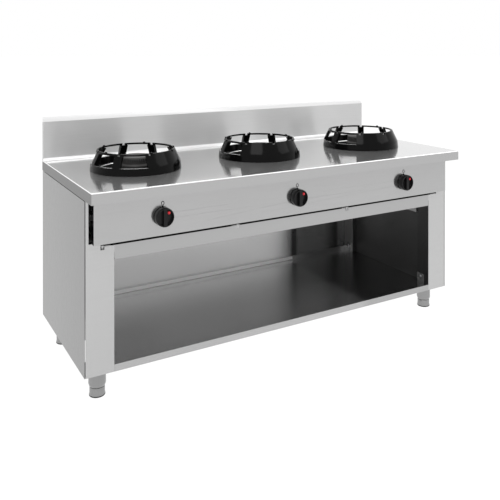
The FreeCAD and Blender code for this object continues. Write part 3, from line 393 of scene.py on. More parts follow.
@dataclass(frozen=True)
class BlackEnamel(Finish):
    """Glossy black enamel over a rough casting, with a painted highlight on upward-facing faces below a
    height.
    """

    name: str
    level: float = 0.003
    roughness: float = 0.12
    gloss: float = 0.09
    pits: float = 0.12
    highlight_below: float = 0.0
    highlight_tone: float = 0.42

    def build(self) -> bpy.types.Material:
        """Make the enamel material."""
        recipe = Recipe(self.name)
        skin = recipe.noise(140.0, detail=2.0)
        broad = recipe.noise(28.0, detail=3.0)
        colour = recipe.blend(broad, grey(self.level * 0.7), grey(self.level * 1.5))
        rough = broad * 0.06 + skin * 0.03 + (self.roughness - 0.045)
        # Painted highlight: faces that point up, below a height, turn bright and metallic.
        below = recipe.rise(recipe.axis("Z"), self.highlight_below, self.highlight_below - 0.001)
        painted_highlight = recipe.rise(recipe.facing("Z"), 0.5, 0.85) * below
        return recipe.finish(
            Base_Color=recipe.cover(painted_highlight, colour, grey(self.highlight_tone)),
            Metallic=painted_highlight,
            Roughness=rough + painted_highlight * 0.15,
            Specular_IOR_Level=self.gloss,
            Normal=recipe.bump(skin * 0.4 + broad * 0.6, self.pits, 0.0008),
        )


@dataclass(frozen=True)
class CastIron(Finish):
    """Bare or heat-darkened casting with a sandy skin."""

    name: str
    level: float = 0.05
    roughness: float = 0.55
    metallic: float = 0.6

    def build(self) -> bpy.types.Material:
        """Make the casting material."""
        recipe = Recipe(self.name)
        sand = recipe.noise(420.0, detail=3.0, rough=0.6)
        patch = recipe.noise(22.0, detail=4.0, rough=0.6)
        colour = recipe.blend(patch, grey(self.level * 0.7), grey(self.level * 1.6, 0.03))
        rough = patch * 0.2 + sand * 0.1 + (self.roughness - 0.12)
        return recipe.finish(
            Base_Color=colour,
            Metallic=self.metallic,
            Roughness=rough,
            Normal=recipe.bump(sand, 0.35, 0.0006),
        )


@dataclass(frozen=True)
class Moulding(Finish):
    """Moulded plastic or rubber with a fine satin skin."""

    name: str
    colour: Grey = (0.006, 0.006, 0.0065)
    roughness: float = 0.32
    texture: float = 0.12
    gloss: float = 0.5

    def build(self) -> bpy.types.Material:
        """Make the moulded material."""
        recipe = Recipe(self.name)
        skin = recipe.noise(900.0, detail=2.0)
        handled = recipe.noise(60.0, detail=3.0)
        darker = tuple(channel * 0.8 for channel in self.colour)
        lighter = tuple(channel * 1.25 for channel in self.colour)
        return recipe.finish(
            Base_Color=recipe.blend(handled, darker, lighter),
            Roughness=handled * 0.14 + (self.roughness - 0.07),
            Specular_IOR_Level=self.gloss,
            Normal=recipe.bump(skin, self.texture, 0.0002),
        )


@dataclass(frozen=True)
class PlainMetal(Finish):
    """Machined, drawn or plated metal."""

    name: str
    colour: Grey
    roughness: float = 0.3
    grain: float = 300.0
    metallic: float = 1.0

    def build(self) -> bpy.types.Material:
        """Make the metal material."""
        recipe = Recipe(self.name)
        marks = recipe.noise(self.grain, detail=3.0)
        patch = recipe.noise(30.0, detail=3.0)
        darker = tuple(channel * 0.86 for channel in self.colour)
        return recipe.finish(
            Base_Color=recipe.blend(patch, darker, self.colour),
            Metallic=self.metallic,
            Roughness=patch * 0.16 + (self.roughness - 0.08),
            Normal=recipe.bump(marks, 0.1, 0.0003),
        )


PANEL_STEEL = BrushedSteel("panel_steel", 0.465, roughness=0.18, smear=0.7)
TOP_STEEL = BrushedSteel(
    "worktop_steel",
    0.74,
    roughness=0.11,
    metallic=0.8,
    patches=(
        # Painted shade: the worktop's front and end edges darker than its top.
        Patch(0.46, (("Z", 0.70, 0.7862),), 0.1),
        # Painted highlight: a near-white band along the rounded top edge.
        Patch(1.0, (("Z", 0.7868, 0.7897),), 0.3, 0.0003),
        # Painted shade: the left end face darker still.
        Patch(0.24, (("X", -0.95, -0.8994), ("Z", 0.70, 0.7866)), 0.25),
    ),
)
SPLASH_STEEL = BrushedSteel(
    "splash_steel",
    0.62,
    roughness=0.3,
    smear=0.95,
    metallic=0.5,
    patches=(
        # Painted highlight: the cove where the splashback meets the worktop near white.
        Patch(1.0, (("Z", 0.7, 0.8035), ("Y", 0.3, 0.3546)), 0.15, 0.0006),
        # Painted light: the sloped top band lighter than the upright face.
        Patch(0.86, (("Z", 0.9636, 1.2),), 0.0, 0.0006),
    ),
)
FRAME_STEEL = BrushedSteel(
    "frame_steel",
    0.54,
    roughness=0.24,
    smear=0.7,
    patches=(
        # Painted shade: the front rail between the legs darker.
        Patch(0.44, (("X", -0.787, 0.787), ("Z", 0.515, 0.5727)), 0.05, 0.002),
        # Painted shadow: the ledge at the foot of the slot under the control panel near black.
        Patch(0.006, (("Z", 0.5695, 0.5727), ("Y", -0.2868, 0.0)), 0.3),
        # Painted shade: the right leg panel's inner faces, behind its front, near black.
        Patch(0.09, (("X", 0.7, 0.85), ("Y", -0.2868, 0.0), ("Z", 0.1, 0.5185)), 0.1),
    ),
)
# Painted shade: the side panels take a much darker tone than the front sheets.
SIDE_STEEL = BrushedSteel("side_steel", 0.24, Grain.ALONG_Z, 0.28, 0.5)
BACK_STEEL = BrushedSteel(
    "back_steel",
    0.7,
    Grain.ALONG_X,
    0.18,
    patches=(
        # Painted shade on the back wall's front face: darker beyond X 0.42.
        Patch(0.55, (("X", 0.42, 0.9),), 0.0, 0.03, True),
        # A narrow dark vertical band at X 0.43 to 0.45.
        Patch(0.08, (("X", 0.428, 0.452),), 0.1, 0.014, True),
        # Painted shade: near black towards the right end.
        Patch(0.12, (("X", 0.72, 0.9),), 0.0, 0.08, True),
    ),
)
# Painted shade: the bay's inner walls near black.
INNER_WALL_STEEL = BrushedSteel("inner_wall_steel", 0.1, Grain.ALONG_Z, 0.3)
# Painted shade: the rear posts near black.
POST_STEEL = BrushedSteel(
    "post_steel",
    0.1,
    Grain.ALONG_Z,
    0.3,
    # Painted light: the post's inner edge near X 0.79 stays lighter.
    patches=(Patch(0.5, (("X", 0.7865, 0.792),), 0.1, 0.001),),
)
SHELF_STEEL = BrushedSteel(
    "shelf_steel",
    0.5,
    Grain.ALONG_X,
    0.25,
    patches=(
        # Painted shade: the right part of the shelf darker.
        Patch(0.42, (("X", 0.42, 0.9), ("Y", -0.28, 0.358)), 0.0, 0.05),
        # Painted light: a light strip along the foot of the rear upstand.
        Patch(0.75, (("X", -0.9, 0.42), ("Y", 0.3582, 0.37), ("Z", 0.1365, 0.1505)), 0.1, 0.0015),
    ),
)
TRAY_STEEL = BrushedSteel("tray_steel", 0.55, Grain.ALONG_Y, 0.34)
DRIP_STEEL = BrushedSteel(
    "drip_tray_steel",
    0.5,
    Grain.ALONG_Y,
    0.34,
    patches=(
        # Painted shadow: the trays' front walls near black, seen through the slot.
        Patch(0.02, (("Y", -0.27, -0.2585),), 0.2),
        # Painted shade, lighter: grey at the trays' left end.
        Patch(0.2, (("X", -0.9, -0.8), ("Z", 0.5, 0.5655)), 0.0, 0.003),
    ),
)
LEG_STEEL = BrushedSteel("leg_steel", 0.32, Grain.ALONG_Z, 0.26)
# The bowl's rim bead: bright steel, its tone raised to near white as a painted highlight.
BEAD_HIGHLIGHT_STEEL = BrushedSteel("bowl_bead_painted_highlight", 0.97, Grain.ALONG_X, 0.3, metallic=1.0)
# Painted highlight on the ring's window sills and other upward-facing faces below 0.86 m.
RING_ENAMEL = BlackEnamel("ring_enamel", highlight_below=0.86)
BOWL_ENAMEL = BlackEnamel("bowl_enamel_skin", 0.015, 0.3, 0.2)
CROWN_IRON = CastIron("crown_iron")
BODY_IRON = CastIron("burner_body_iron", 0.08)
KNOB_BLACK = Moulding("knob_black", gloss=0.25)
DOT_RED = Moulding("dot_red", (0.80, 0.025, 0.04), 0.3, 0.05)
MARK_BLACK = Moulding("mark_black", (0.006, 0.006, 0.006), 0.5, 0.05, 0.1)
SOLE_BLACK = Moulding("sole_black", (0.015, 0.015, 0.015), 0.6, 0.3)
BRASS = PlainMetal("valve_brass", (0.72, 0.52, 0.22), 0.3)
ZINC = PlainMetal("zinc_plate", (0.62, 0.62, 0.64), 0.28)
ALUMINIUM = PlainMetal("drawn_aluminium", (0.7, 0.7, 0.71), 0.34)
GALVANISED = PlainMetal("galvanised_sheet", (0.42, 0.43, 0.44), 0.5, 40.0, 0.7)
PILOT_METAL = PlainMetal("pilot_metal", (0.33, 0.31, 0.3), 0.42)


# Mesh building.

Point = tuple[float, float, float]
Corner = tuple[float, float]
Profile = Sequence[Corner]


@dataclass
class Piece:
    """A mesh being built, which then becomes one object of the range."""

    name: str
    form: bmesh.types.BMesh = field(default_factory=bmesh.new)

    def add_faces(self, faces: Iterable[Sequence[Point]], part: int = 0) -> None:
        """Add faces by their corners.

        Args:
            faces: the corners of each face, in order round it.
            part: the material index they take.
        """
        for corners in faces:
            verts = [self.form.verts.new(corner) for corner in corners]
            self.form.faces.new(verts).material_index = part

    def turn(self, profile: Profile, centre: Point, segments: int = 96, part: int = 0) -> None:
        """Add a closed profile of (radius, height) turned about an upright axis.

        Args:
            profile: the corners, in order; radius 0 lies on the axis.
            centre: the axis' foot.
            segments: faces round the axis.
            part: the material index they take.
        """
        count = len(profile)
        faces = []
        for step in range(segments):
            angles = (math.tau * step / segments, math.tau * (step + 1) / segments)
            for index in range(count):
                low, high = profile[index], profile[(index + 1) % count]
                corners = [
                    ring_point(centre, low[0], angles[0], low[1]),
                    ring_point(centre, low[0], angles[1], low[1]),
                    ring_point(centre, high[0], angles[1], high[1]),
                    ring_point(centre, high[0], angles[0], high[1]),
                ]
                corners = distinct(corners)
                if len(corners) > 2:
                    faces.append(corners)
        self.add_faces(faces, part)

    def extrude(
        self, outline: Profile, low: float, high: float, place: Callable, part: int = 0
    ) -> None:
        """Add a prism.

        Args:
            outline: its outline's corners, in order.
            low: where it starts along its length.
            high: where it ends.
            place: turns (across, up, along) into a point.
            part: the material index it takes.
        """
        self.loft([[place(a, b, along) for a, b in outline] for along in (low, high)], part)

    def loft(self, outlines: Sequence[Sequence[Point]], part: int = 0) -> None:
        """Add a solid through a stack of outlines that have as many corners each.

        Args:
            outlines: each outline's corners; the first and last are closed by a face.
            part: the material index it takes.
        """
        count = len(outlines[0])
        faces = [outlines[0], outlines[-1]]
        for low, high in zip(outlines, outlines[1:]):
            faces += [[low[n], low[(n + 1) % count], high[(n + 1) % count], high[n]] for n in range(count)]
        self.add_faces(faces, part)

    def mesh(self) -> bpy.types.Mesh:
        """Close the mesh's seams.

        Returns:
            The mesh.
        """
        bmesh.ops.remove_doubles(self.form, verts=self.form.verts, dist=1e-6)
        bmesh.ops.dissolve_degenerate(self.form, dist=1e-7, edges=self.form.edges)
        bmesh.ops.recalc_face_normals(self.form, faces=self.form.faces)
        made = bpy.data.meshes.new(self.name)
        self.form.to_mesh(made)
        self.form.free()
        return made

    def object(self) -> bpy.types.Object:
        """Put the finished mesh in the scene.

        Returns:
            Its object.
        """
        made = bpy.data.objects.new(self.name, self.mesh())
        bpy.context.scene.collection.objects.link(made)
        return made


def ring_point(centre: Point, radius: float, angle: float, height: float) -> Point:
    """Return a point round an upright axis.

    Args:
        centre: the axis' foot.
        radius: distance from the axis.
        angle: in radians, from +X towards +Y.
        height: above the axis' foot.

    Returns:
        The point.
    """
    across = centre[0] + radius * math.cos(angle)
    return (across, centre[1] + radius * math.sin(angle), centre[2] + height)


def on_front(face: float) -> Callable[[float, float, float], Point]:
    """Return how a drawing on an upright front face maps to points.

    Args:
        face: the face's Y.

    Returns:
        A function of (across, up, out of the face).
    """
    return lambda across, up, along: (across, face - along, up)


def circle(radius: float, count: int, centre: Corner = (0.0, 0.0)) -> list[Corner]:
    """Return a circle's corners."""
    steps = [math.tau * n / count for n in range(count)]
    return [(centre[0] + radius * math.cos(a), centre[1] + radius * math.sin(a)) for a in steps]


def distinct(corners: Sequence[Point]) -> list[Point]:
    """Return corners with no point twice."""
    return [corner for n, corner in enumerate(corners) if corner not in corners[:n]]


def carve(body: bpy.types.Object, cutter: bpy.types.Object) -> None:
    """Cut one object out of another and delete the cutter.

    Args:
        body: what is cut.
        cutter: what is taken away.
    """
    step = body.modifiers.new("carve", "BOOLEAN")
    step.operation = "DIFFERENCE"
    step.solver = "EXACT"
    step.object = cutter
    bpy.context.view_layer.update()
    graph = bpy.context.evaluated_depsgraph_get()
    made = bpy.data.meshes.new_from_object(body.evaluated_get(graph))
    body.modifiers.clear()
    body.data = made
    bpy.data.objects.remove(cutter)


def round_edges(thing: bpy.types.Object, width: float, steps: int) -> bpy.types.Modifier:
    """Bevel an object's sharp edges.

    Args:
        thing: the object.
        width: the rounding, in metres.
        steps: faces across a rounding.

    Returns:
        The bevel.
    """
    rounded = thing.modifiers.new("round_edges", "BEVEL")
    rounded.width = width
    rounded.segments = steps
    rounded.limit_method = "ANGLE"
    rounded.angle_limit = SHARP
    rounded.use_clamp_overlap = True
    return rounded


def soften(thing: bpy.types.Object, width: float = 0.0, steps: int = 2) -> None:
    """Round a new piece's sharp edges and shade its curved faces smooth.

    Args:
        thing: the piece.
        width: the rounding, in metres.
        steps: faces across a rounding.
    """
    thing.data.shade_smooth()
    thing.data.set_sharp_from_angle(angle=SHARP)
    if width > 0:
        round_edges(thing, width, steps).harden_normals = True


def fold_edges(thing: bpy.types.Object, width: float) -> None:
    """Round a CAD node's sharp edges, and keep its flat faces flat.

    Args:
        thing: the CAD node's object.
        width: the rounding, in metres.
    """
    thing.data.shade_smooth()
    joined = thing.modifiers.new("join_corners", "WELD")
    joined.merge_threshold = 2e-5
    round_edges(thing, width, 2)
    even = thing.modifiers.new("even_faces", "WEIGHTED_NORMAL")
    even.mode = "FACE_AREA"
    even.weight = 100
    even.keep_sharp = False


def settle(
    thing: bpy.types.Object,
    finishes: Sequence[Finish],
    slot: Slot,
    body: str = "root",
    stands_for: Sequence[str] = (),
) -> None:
    """Give a new piece its finishes and the body that it rides on.

    Args:
        thing: the piece.
        finishes: one finish for each material index.
        slot: the record's material slot; not used.
        body: the CAD body that carries it.
        stands_for: the CAD nodes that it replaces.
    """
    thing.data.materials.clear()
    for finish in finishes:
        thing.data.materials.append(finish.material())
    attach(thing, body)
    if stands_for:
        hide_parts(*stands_for)
    log.info("%s: %d faces, rides on %s", thing.name, len(thing.data.polygons), body)


# Castings with openings all round.


@dataclass
class RingCasting:
    """A closed casting made of cells round an upright axis.

    Columns run round it and rows up it. Each cell is solid or open, and a solid one has an outer
    and an inner radius at its foot and head.
    """

    centre: Point
    columns: list[tuple[float, str]]
    levels: list[float]
    outer: list[float]
    inner: Callable[[str, int], tuple[float, float] | None]
    spread: Callable[[int, int], float]

    def __post_init__(self) -> None:
        """Work out which radii meet at each corner line."""
        self.rows = len(self.levels) - 1
        self.count = len(self.columns)
        self.radii: dict[tuple[int, int], set[float]] = {}
        for column in range(self.count):
            for row in range(self.rows):
                inner = self.inner(self.columns[column][1], row)
                if inner is None:
                    continue
                for level, near in ((row, inner[0]), (row + 1, inner[1])):
                    for line in (column, (column + 1) % self.count):
                        self.radii.setdefault((line, level), set()).update((near, self.outer[level]))

    def corner(self, line: int, level: int, radius: float) -> Point:
        """Return the point on a column's line at a level and radius."""
        return ring_point(self.centre, radius, self.spread(line, level), self.levels[level])

    def spoke(self, line: int, level: int, start: float, end: float) -> list[Point]:
        """Find the points between two radii on a line, with each radius that meets it.

        Args:
            line: the column's line.
            level: the level on it.
            start: the radius of the first point.
            end: the radius of the last point.

        Returns:
            The points, in order.
        """
        line %= self.count
        low, high = min(start, end), max(start, end)
        between = sorted(r for r in self.radii[(line, level)] if low - 1e-9 <= r <= high + 1e-9)
        if start > end:
            between.reverse()
        return [self.corner(line, level, r) for r in between]

    def faces(self) -> list[list[Point]]:
        """Go through every solid cell.

        Returns:
            The casting's faces.
        """
        made = []
        for column in range(self.count):
            for row in range(self.rows):
                inner = self.inner(self.columns[column][1], row)
                if inner is not None:
                    made += self._cell(column, row, inner)
        return made

    def _cell(self, column: int, row: int, inner: tuple[float, float]) -> list[list[Point]]:
        """Find the open faces of one solid cell.

        Args:
            column: its column.
            row: its row.
            inner: its inner radii at its foot and head.

        Returns:
            The faces.
        """
        after = (column + 1) % self.count
        outer = (self.outer[row], self.outer[row + 1])
        made = []
        for radii in (inner, outer):
            if max(radii) > 0:
                corners = [
                    self.corner(column, row, radii[0]),
                    self.corner(after, row, radii[0]),
                    self.corner(after, row + 1, radii[1]),
                    self.corner(column, row + 1, radii[1]),
                ]
                made.append(distinct(corners))
        for level, end, beside in ((row, 0, row - 1), (row + 1, 1, row + 1)):
            other = self.inner(self.columns[column][1], beside) if 0 <= beside < self.rows else None
            reach = outer[end] if other is None else other[1 - end]
            if reach > inner[end] + 1e-9:
                made.append(self._ring_face(column, after, level, inner[end], reach))
        for line, beside in ((column, column - 1), (after, after)):
            other = self.inner(self.columns[beside % self.count][1], row)
            reach = outer if other is None else other
            if reach[0] > inner[0] + 1e-9 or reach[1] > inner[1] + 1e-9:
                foot = self.spoke(line, row, inner[0], max(reach[0], inner[0]))
                head = self.spoke(line, row + 1, max(reach[1], inner[1]), inner[1])
                made.append(distinct(foot + head))
        return [face for face in made if len(face) > 2]

    def _ring_face(self, column: int, after: int, level: int, near: float, far: float) -> list[Point]:
        """Return a level face between two radii across one column."""
        return distinct(self.spoke(column, level, near, far) + self.spoke(after, level, far, near))


@dataclass
class WokRing:
    """Cast ring that holds a wok: solid band, posts, windows, shield, split rim bars and lugs."""

    number: int
    turn: float
    posts: int = 8
    open_sectors: int = 6
    lug_angle: float = 57.0
    lugs: int = 5
    lug_radius: float = 0.157
    lug_thickness: float = 0.0054
    lug_half: float = 0.005
    lug_top_half: float = 0.0032
    lug_heights: tuple[float, float, float] = (0.0745, 0.0838, 0.0865)
    foot: float = 0.7902
    post_half: float = 0.017
    gap_half: float = 0.006
    window_columns: int = 12
    levels: tuple[float, ...] = (0.0, 0.006, 0.018, 0.03, 0.045, 0.06, 0.0745, 0.0825)
    outer: tuple[float, ...] = (0.189, 0.1884, 0.1872, 0.186, 0.178714, 0.171429, 0.164386, 0.1605)
    inner_thin: tuple[float, ...] = (0.174, 0.175, 0.177, 0.179, 0.171714, 0.164429, 0.157386, 0.1535)
    inner_post: tuple[float, ...] = (0.174, 0.1732, 0.1716, 0.17, 0.161404, 0.152809, 0.1445, 0.1535)

    def _columns(self) -> list[tuple[float, str]]:
        """Lay out the columns of every sector.

        Returns:
            Where each column starts, in sectors, and its kind.
        """
        made = []
        for sector in range(self.posts):
            made.append((sector + 0.0, "gap"))
            made += [(sector + 0.1, "post"), (sector + 0.2, "post")]
            kind = "window" if sector < self.open_sectors else "shield"
            shares = [0.3 + 0.4 * n / self.window_columns for n in range(self.window_columns)]
            made += [(sector + share, kind) for share in shares]
            made += [(sector + 0.8, "post"), (sector + 0.9, "post")]
        return made

    def _inner(self, kind: str, row: int) -> tuple[float, float] | None:
        """Find a cell's inner radii.

        Args:
            kind: its column's kind.
            row: its row.

        Returns:
            The radii at its foot and head, or None where it is open.
        """
        top = len(self.levels) - 2
        if row >= 3 and row < top and kind == "window":
            return None
        if row == top:
            return None if kind == "gap" else (self.inner_thin[row], self.inner_thin[row + 1])
        thick = kind in ("gap", "post")
        radii = self.inner_post if thick else self.inner_thin
        return radii[row], radii[row + 1]

    def _spread(self, columns: list[tuple[float, str]]) -> Callable[[int, int], float]:
        """Work out how the columns' lines turn with height, so that posts keep parallel sides.

        Args:
            columns: where each column starts, and its kind.

        Returns:
            A function of the line and level that gives the angle.
        """
        pitch = math.tau / self.posts

        def angle(line: int, level: int) -> float:
            """Find a line's angle at a level.

            Args:
                line: the column's line.
                level: the level on it.

            Returns:
                The angle in radians.
            """
            place = columns[line % len(columns)][0]
            sector = math.floor(place)
            share = round(place - sector, 6)
            post = math.asin(self.post_half / self.outer[level])
            gap = math.asin(self.gap_half / self.outer[level])
            if share < 0.05:
                offset = -gap
            elif share < 0.25:
                offset = gap + (post - gap) * (0.0 if share < 0.15 else 0.5)
            elif share < 0.75:
                offset = post + (pitch - 2 * post) * (share - 0.3) / 0.4
            else:
                offset = pitch - (post - (post - gap) * (0.0 if share < 0.85 else 0.5))
            return math.radians(self.turn) + sector * pitch + offset

        return angle

    def build(self) -> bpy.types.Object:
        """Build and dress the ring.

        Returns:
            The ring's object.
        """
        centre = (BURNER_X[self.number - 1], 0.0, self.foot)
        columns = self._columns()
        casting = RingCasting(
            centre, columns, list(self.levels), list(self.outer), self._inner, self._spread(columns)
        )
        piece = Piece(f"wok_ring_casting_{self.number}")
        piece.add_faces(casting.faces())
        thing = piece.object()
        soften(thing, 0.0014, 3)
        settle(thing, [RING_ENAMEL], Slot.RING, f"wok_ring_{self.number}", [f"wok_ring_{self.number}"])
        self._build_lugs(centre)
        return thing

    def _build_lugs(self, centre: Point) -> None:
        """Add the small lugs that a wok rests on.

        Args:
            centre: the foot of the ring's axis.
        """
        piece = Piece(f"wok_ring_lugs_{self.number}")
        wide, narrow = self.lug_half, self.lug_top_half
        foot, shoulder, top = self.lug_heights
        right = [(wide, foot), (wide, shoulder), (narrow, top)]
        outline = [(-wide, foot), *right, (-narrow, top), (-wide, shoulder)]
        for index in range(self.lugs):
            angle = math.radians(self.turn + self.lug_angle + index * 360.0 / self.lugs)
            across = Vector((-math.sin(angle), math.cos(angle), 0.0))
            out = Vector((math.cos(angle), math.sin(angle), 0.0))
            origin = Vector(centre) + out * self.lug_radius

            def place(aside: float, up: float, along: float) -> Point:
                """Return a point of the lug's drawing in the part's frame."""
                return tuple(origin + across * aside + out * along + Vector((0, 0, up)))

            piece.extrude(outline, -self.lug_thickness / 2, self.lug_thickness / 2, place)
        thing = piece.object()
        soften(thing, 0.0007, 2)
        settle(thing, [RING_ENAMEL], Slot.RING, f"wok_ring_{self.number}")


@dataclass
class BurnerCrown:
    """Slotted burner crown with a skirt and a domed cap."""

    number: int
    slots: int = 48
    foot: float = 0.7862
    slot_half: float = 0.0015
    slot_radius: float = 0.065
    bore: float = 0.058
    levels: tuple[float, ...] = (0.0, 0.0215, 0.0285, 0.038, 0.05, 0.0535, 0.0562, 0.057)
    outer: tuple[float, ...] = (0.07, 0.07, 0.065, 0.065, 0.065, 0.0635, 0.060, 0.0555)

    def _inner(self, kind: str, row: int) -> tuple[float, float] | None:
        """Find a cell's inner radii.

        Args:
            kind: its column's kind.
            row: its row; the fourth holds the flame slots, and the cap lies over it.

        Returns:
            The radii at its foot and head, or None where it is open.
        """
        if row == 3 and kind == "slot":
            return None
        if row > 3:
            return 0.0, 0.0
        return self.bore, self.bore

    def build(self) -> bpy.types.Object:
        """Build and dress the crown.

        Returns:
            The crown's object.
        """
        pitch = math.tau / self.slots
        columns = []
        for slot in range(self.slots):
            columns += [(slot + 0.0, "slot"), (slot + 0.33, "bar"), (slot + 0.66, "bar")]

        def spread(line: int, level: int) -> float:
            """Find a line's angle, which is the same at every level.

            Args:
                line: the column's line.
                level: the level on it.

            Returns:
                The angle in radians.
            """
            place = columns[line % len(columns)][0]
            slot = math.floor(place)
            half = math.asin(self.slot_half / self.slot_radius)
            share = place - slot
            offset = -half if share < 0.1 else half if share < 0.5 else pitch / 2
            return slot * pitch + offset

        centre = (BURNER_X[self.number - 1], 0.0, self.foot)
        casting = RingCasting(centre, columns, list(self.levels), list(self.outer), self._inner, spread)
        piece = Piece(f"crown_casting_{self.number}")
        piece.add_faces(casting.faces())
        thing = piece.object()
        soften(thing)
        name = f"burner_crown_{self.number}"
        settle(thing, [CROWN_IRON], Slot.BURNER, name, [name])
        return thing


@dataclass
class BurnerBowl:
    """Black enamelled bowl with a steel rim bead, painted near white as a highlight, that lies on the
    worktop.
    """

    number: int
    foot: float = 0.738
    bead_low: float = 0.7914

    def build(self) -> bpy.types.Object:
        """Build and dress the bowl.

        Returns:
            The bowl's object.
        """
        centre = (BURNER_X[self.number - 1], 0.0, 0.0)
        low = self.foot
        sheet = 0.0012
        piece = Piece(f"bowl_pressing_{self.number}")
        profile = [
            (0.0503, low),
            (0.0960, low),
            (0.1030, low + 0.003),
            (0.1480, 0.7745),
            (0.1495, 0.7800),
            (0.1495, 0.7900),
            (0.1640, 0.7900),
            (0.1640, 0.7912),
            (0.1534, 0.7912),
            (0.1530, 0.7924),
            (0.1520, 0.7933),
            (0.1507, 0.7936),
            (0.1494, 0.7932),
            (0.1486, 0.7922),
            (0.1483, 0.7908),
            (0.1483, 0.7802),
            (0.1468, 0.7750),
            (0.1022, low + 0.0042),
            (0.0956, low + sheet),
            (0.0503, low + sheet),
        ]
        piece.turn(profile, centre, 128)
        thing = piece.object()
        soften(thing)
        name = f"burner_bowl_{self.number}"
        settle(thing, [BOWL_ENAMEL, BEAD_HIGHLIGHT_STEEL], Slot.BOWL, "root", [name])
        # Faces above the bead's foot take the near-white painted highlight steel.
        for face in thing.data.polygons:
            face.material_index = 1 if face.center.z > self.bead_low else 0
        return thing


@dataclass
class ControlKnob:
    """Round gas knob with a grip bar between two finger recesses, and its red dot."""

    number: int
    height: float = 0.66
    back: float = -0.3195
    radius: float = 0.036
    depth: float = 0.0265
    inner: float = 0.031
    grip_half: float = 0.0075
    recess: float = 0.012
    corners: int = 96
    dot_place: Corner = (0.0150, 0.0167)
    dot_corners: int = 32

    def build(self) -> bpy.types.Object:
        """Build and dress the knob and its dot.

        Returns:
            The knob's object.
        """
        centre = (KNOB_X[self.number - 1], self.height)
        piece = Piece(f"knob_moulding_{self.number}")
        place = on_front(self.back)
        rings = [
            (0.0, 0.0335),
            (0.0015, 0.0352),
            (0.004, 0.036),
            (0.0195, 0.036),
            (0.0238, 0.0355),
            (0.0258, 0.0343),
            (self.depth, 0.0328),
        ]
        piece.loft([[place(x, z, along) for x, z in circle(r, self.corners, centre)] for along, r in rings])
        thing = piece.object()
        for side in (1, -1):
            cutter = Piece(f"recess_{self.number}_{side}")
            cutter.extrude(self._recess(side), self.depth - self.recess, self.depth + 0.01, place)
            carve(thing, cutter.object())
        soften(thing, 0.0009, 3)
        name = f"knob_{self.number}"
        settle(thing, [KNOB_BLACK], Slot.KNOB, name, [name])
        self._build_dot(place, centre)
        return thing

    def _recess(self, side: int) -> list[tuple[float, float]]:
        """Draw one finger recess.

        Args:
            side: 1 for the one right of the grip bar, -1 for the left one.

        Returns:
            Its outline.
        """
        across, up = KNOB_X[self.number - 1], self.height
        reach = math.acos(self.grip_half / self.inner)
        half_steps = 14
        turns = [reach * n / half_steps for n in range(-half_steps, half_steps + 1)]
        return [(across + side * self.inner * math.cos(a), up + self.inner * math.sin(a)) for a in turns]

    def _build_dot(self, place: Callable, centre: Corner) -> None:
        """Add the red dot in the right-hand recess.

        Args:
            place: maps the knob's front drawing to points.
            centre: the knob's axis in that drawing.
        """
        piece = Piece(f"knob_dot_{self.number}")
        spot = (centre[0] + self.dot_place[0], centre[1] + self.dot_place[1])
        floor = self.depth - self.recess
        rings = [(0.0, 0.0055), (0.0085, 0.0055), (0.0098, 0.0050), (0.0106, 0.0036), (0.0110, 0.0014)]
        count = self.dot_corners
        piece.loft([[place(x, z, floor + up) for x, z in circle(r, count, spot)] for up, r in rings])
        thing = piece.object()
        soften(thing)
        settle(thing, [DOT_RED], Slot.KNOB, f"knob_{self.number}")


@dataclass
class OffMark:
    """Printed zero with a dot under it, on the control panel over a knob."""

    number: int
    face: float = -0.316
    height: float = 0.7095
    half_width: float = 0.0066
    half_height: float = 0.0086
    stroke: float = 0.0027
    dot_height: float = 0.6970
    dot_radius: float = 0.0034
    print_thickness: float = 0.00015

    def build(self) -> bpy.types.Object:
        """Build and dress the mark.

        Returns:
            The mark's object.
        """
        across = KNOB_X[self.number - 1]
        count = 48
        place = on_front(self.face)
        piece = Piece(f"off_mark_{self.number}")

        def oval(inset: float, along: float) -> list[Point]:
            """Draw the zero's outline.

            Args:
                inset: how far inside its outer edge.
                along: how far out of the panel's face.

            Returns:
                The outline's corners.
            """
            wide, tall = self.half_width - inset, self.half_height - inset
            return [
                place(across + wide * math.cos(a), self.height + tall * math.sin(a), along)
                for a in (math.tau * n / count for n in range(count))
            ]

        face, proud = 0.0, self.print_thickness
        loops = [oval(0, face), oval(0, proud), oval(self.stroke, proud), oval(self.stroke, face)]
        for low, high in zip(loops, loops[1:] + loops[:1]):
            after = [(n + 1) % count for n in range(count)]
            piece.add_faces([low[n], low[m], high[m], high[n]] for n, m in enumerate(after))
        piece.extrude(circle(self.dot_radius, 24, (across, self.dot_height)), face, proud, place)
        thing = piece.object()
        settle(thing, [MARK_BLACK], Slot.KNOB)
        return thing


@dataclass
class RangeFoot:
    """Adjustable foot: turned steel cup over a black sole."""

    name: str
    place: tuple[float, float]

    def build(self) -> bpy.types.Object:
        """Build and dress the foot and its sole.

        Returns:
            The foot's object.
        """
        centre = (*self.place, 0.0)
        piece = Piece(f"foot_cup_{self.name}")
        profile = [
            (0.0, 0.005),
            (0.0297, 0.005),
            (0.0297, 0.0072),
            (0.0292, 0.0098),
            (0.0287, 0.0118),
            (0.0285, 0.0140),
            (0.0285, 0.0318),
            (0.0277, 0.0332),
            (0.0260, 0.0338),
            (0.0100, 0.0338),
            (0.0100, 0.0910),
            (0.0092, 0.0918),
            (0.0, 0.0918),
        ]
        piece.turn(profile, centre, 72)
        thing = piece.object()
        soften(thing)
        body = f"foot_{self.name}"
        settle(thing, [LEG_STEEL], Slot.STEEL, body, [body])
        sole = Piece(f"foot_sole_{self.name}")
        sole.turn([(0.0, 0.0), (0.0285, 0.0), (0.03, 0.0015), (0.03, 0.005), (0.0, 0.005)], centre, 72)
        rubber = sole.object()
        soften(rubber)
        settle(rubber, [SOLE_BLACK], Slot.KNOB, body)
        return thing


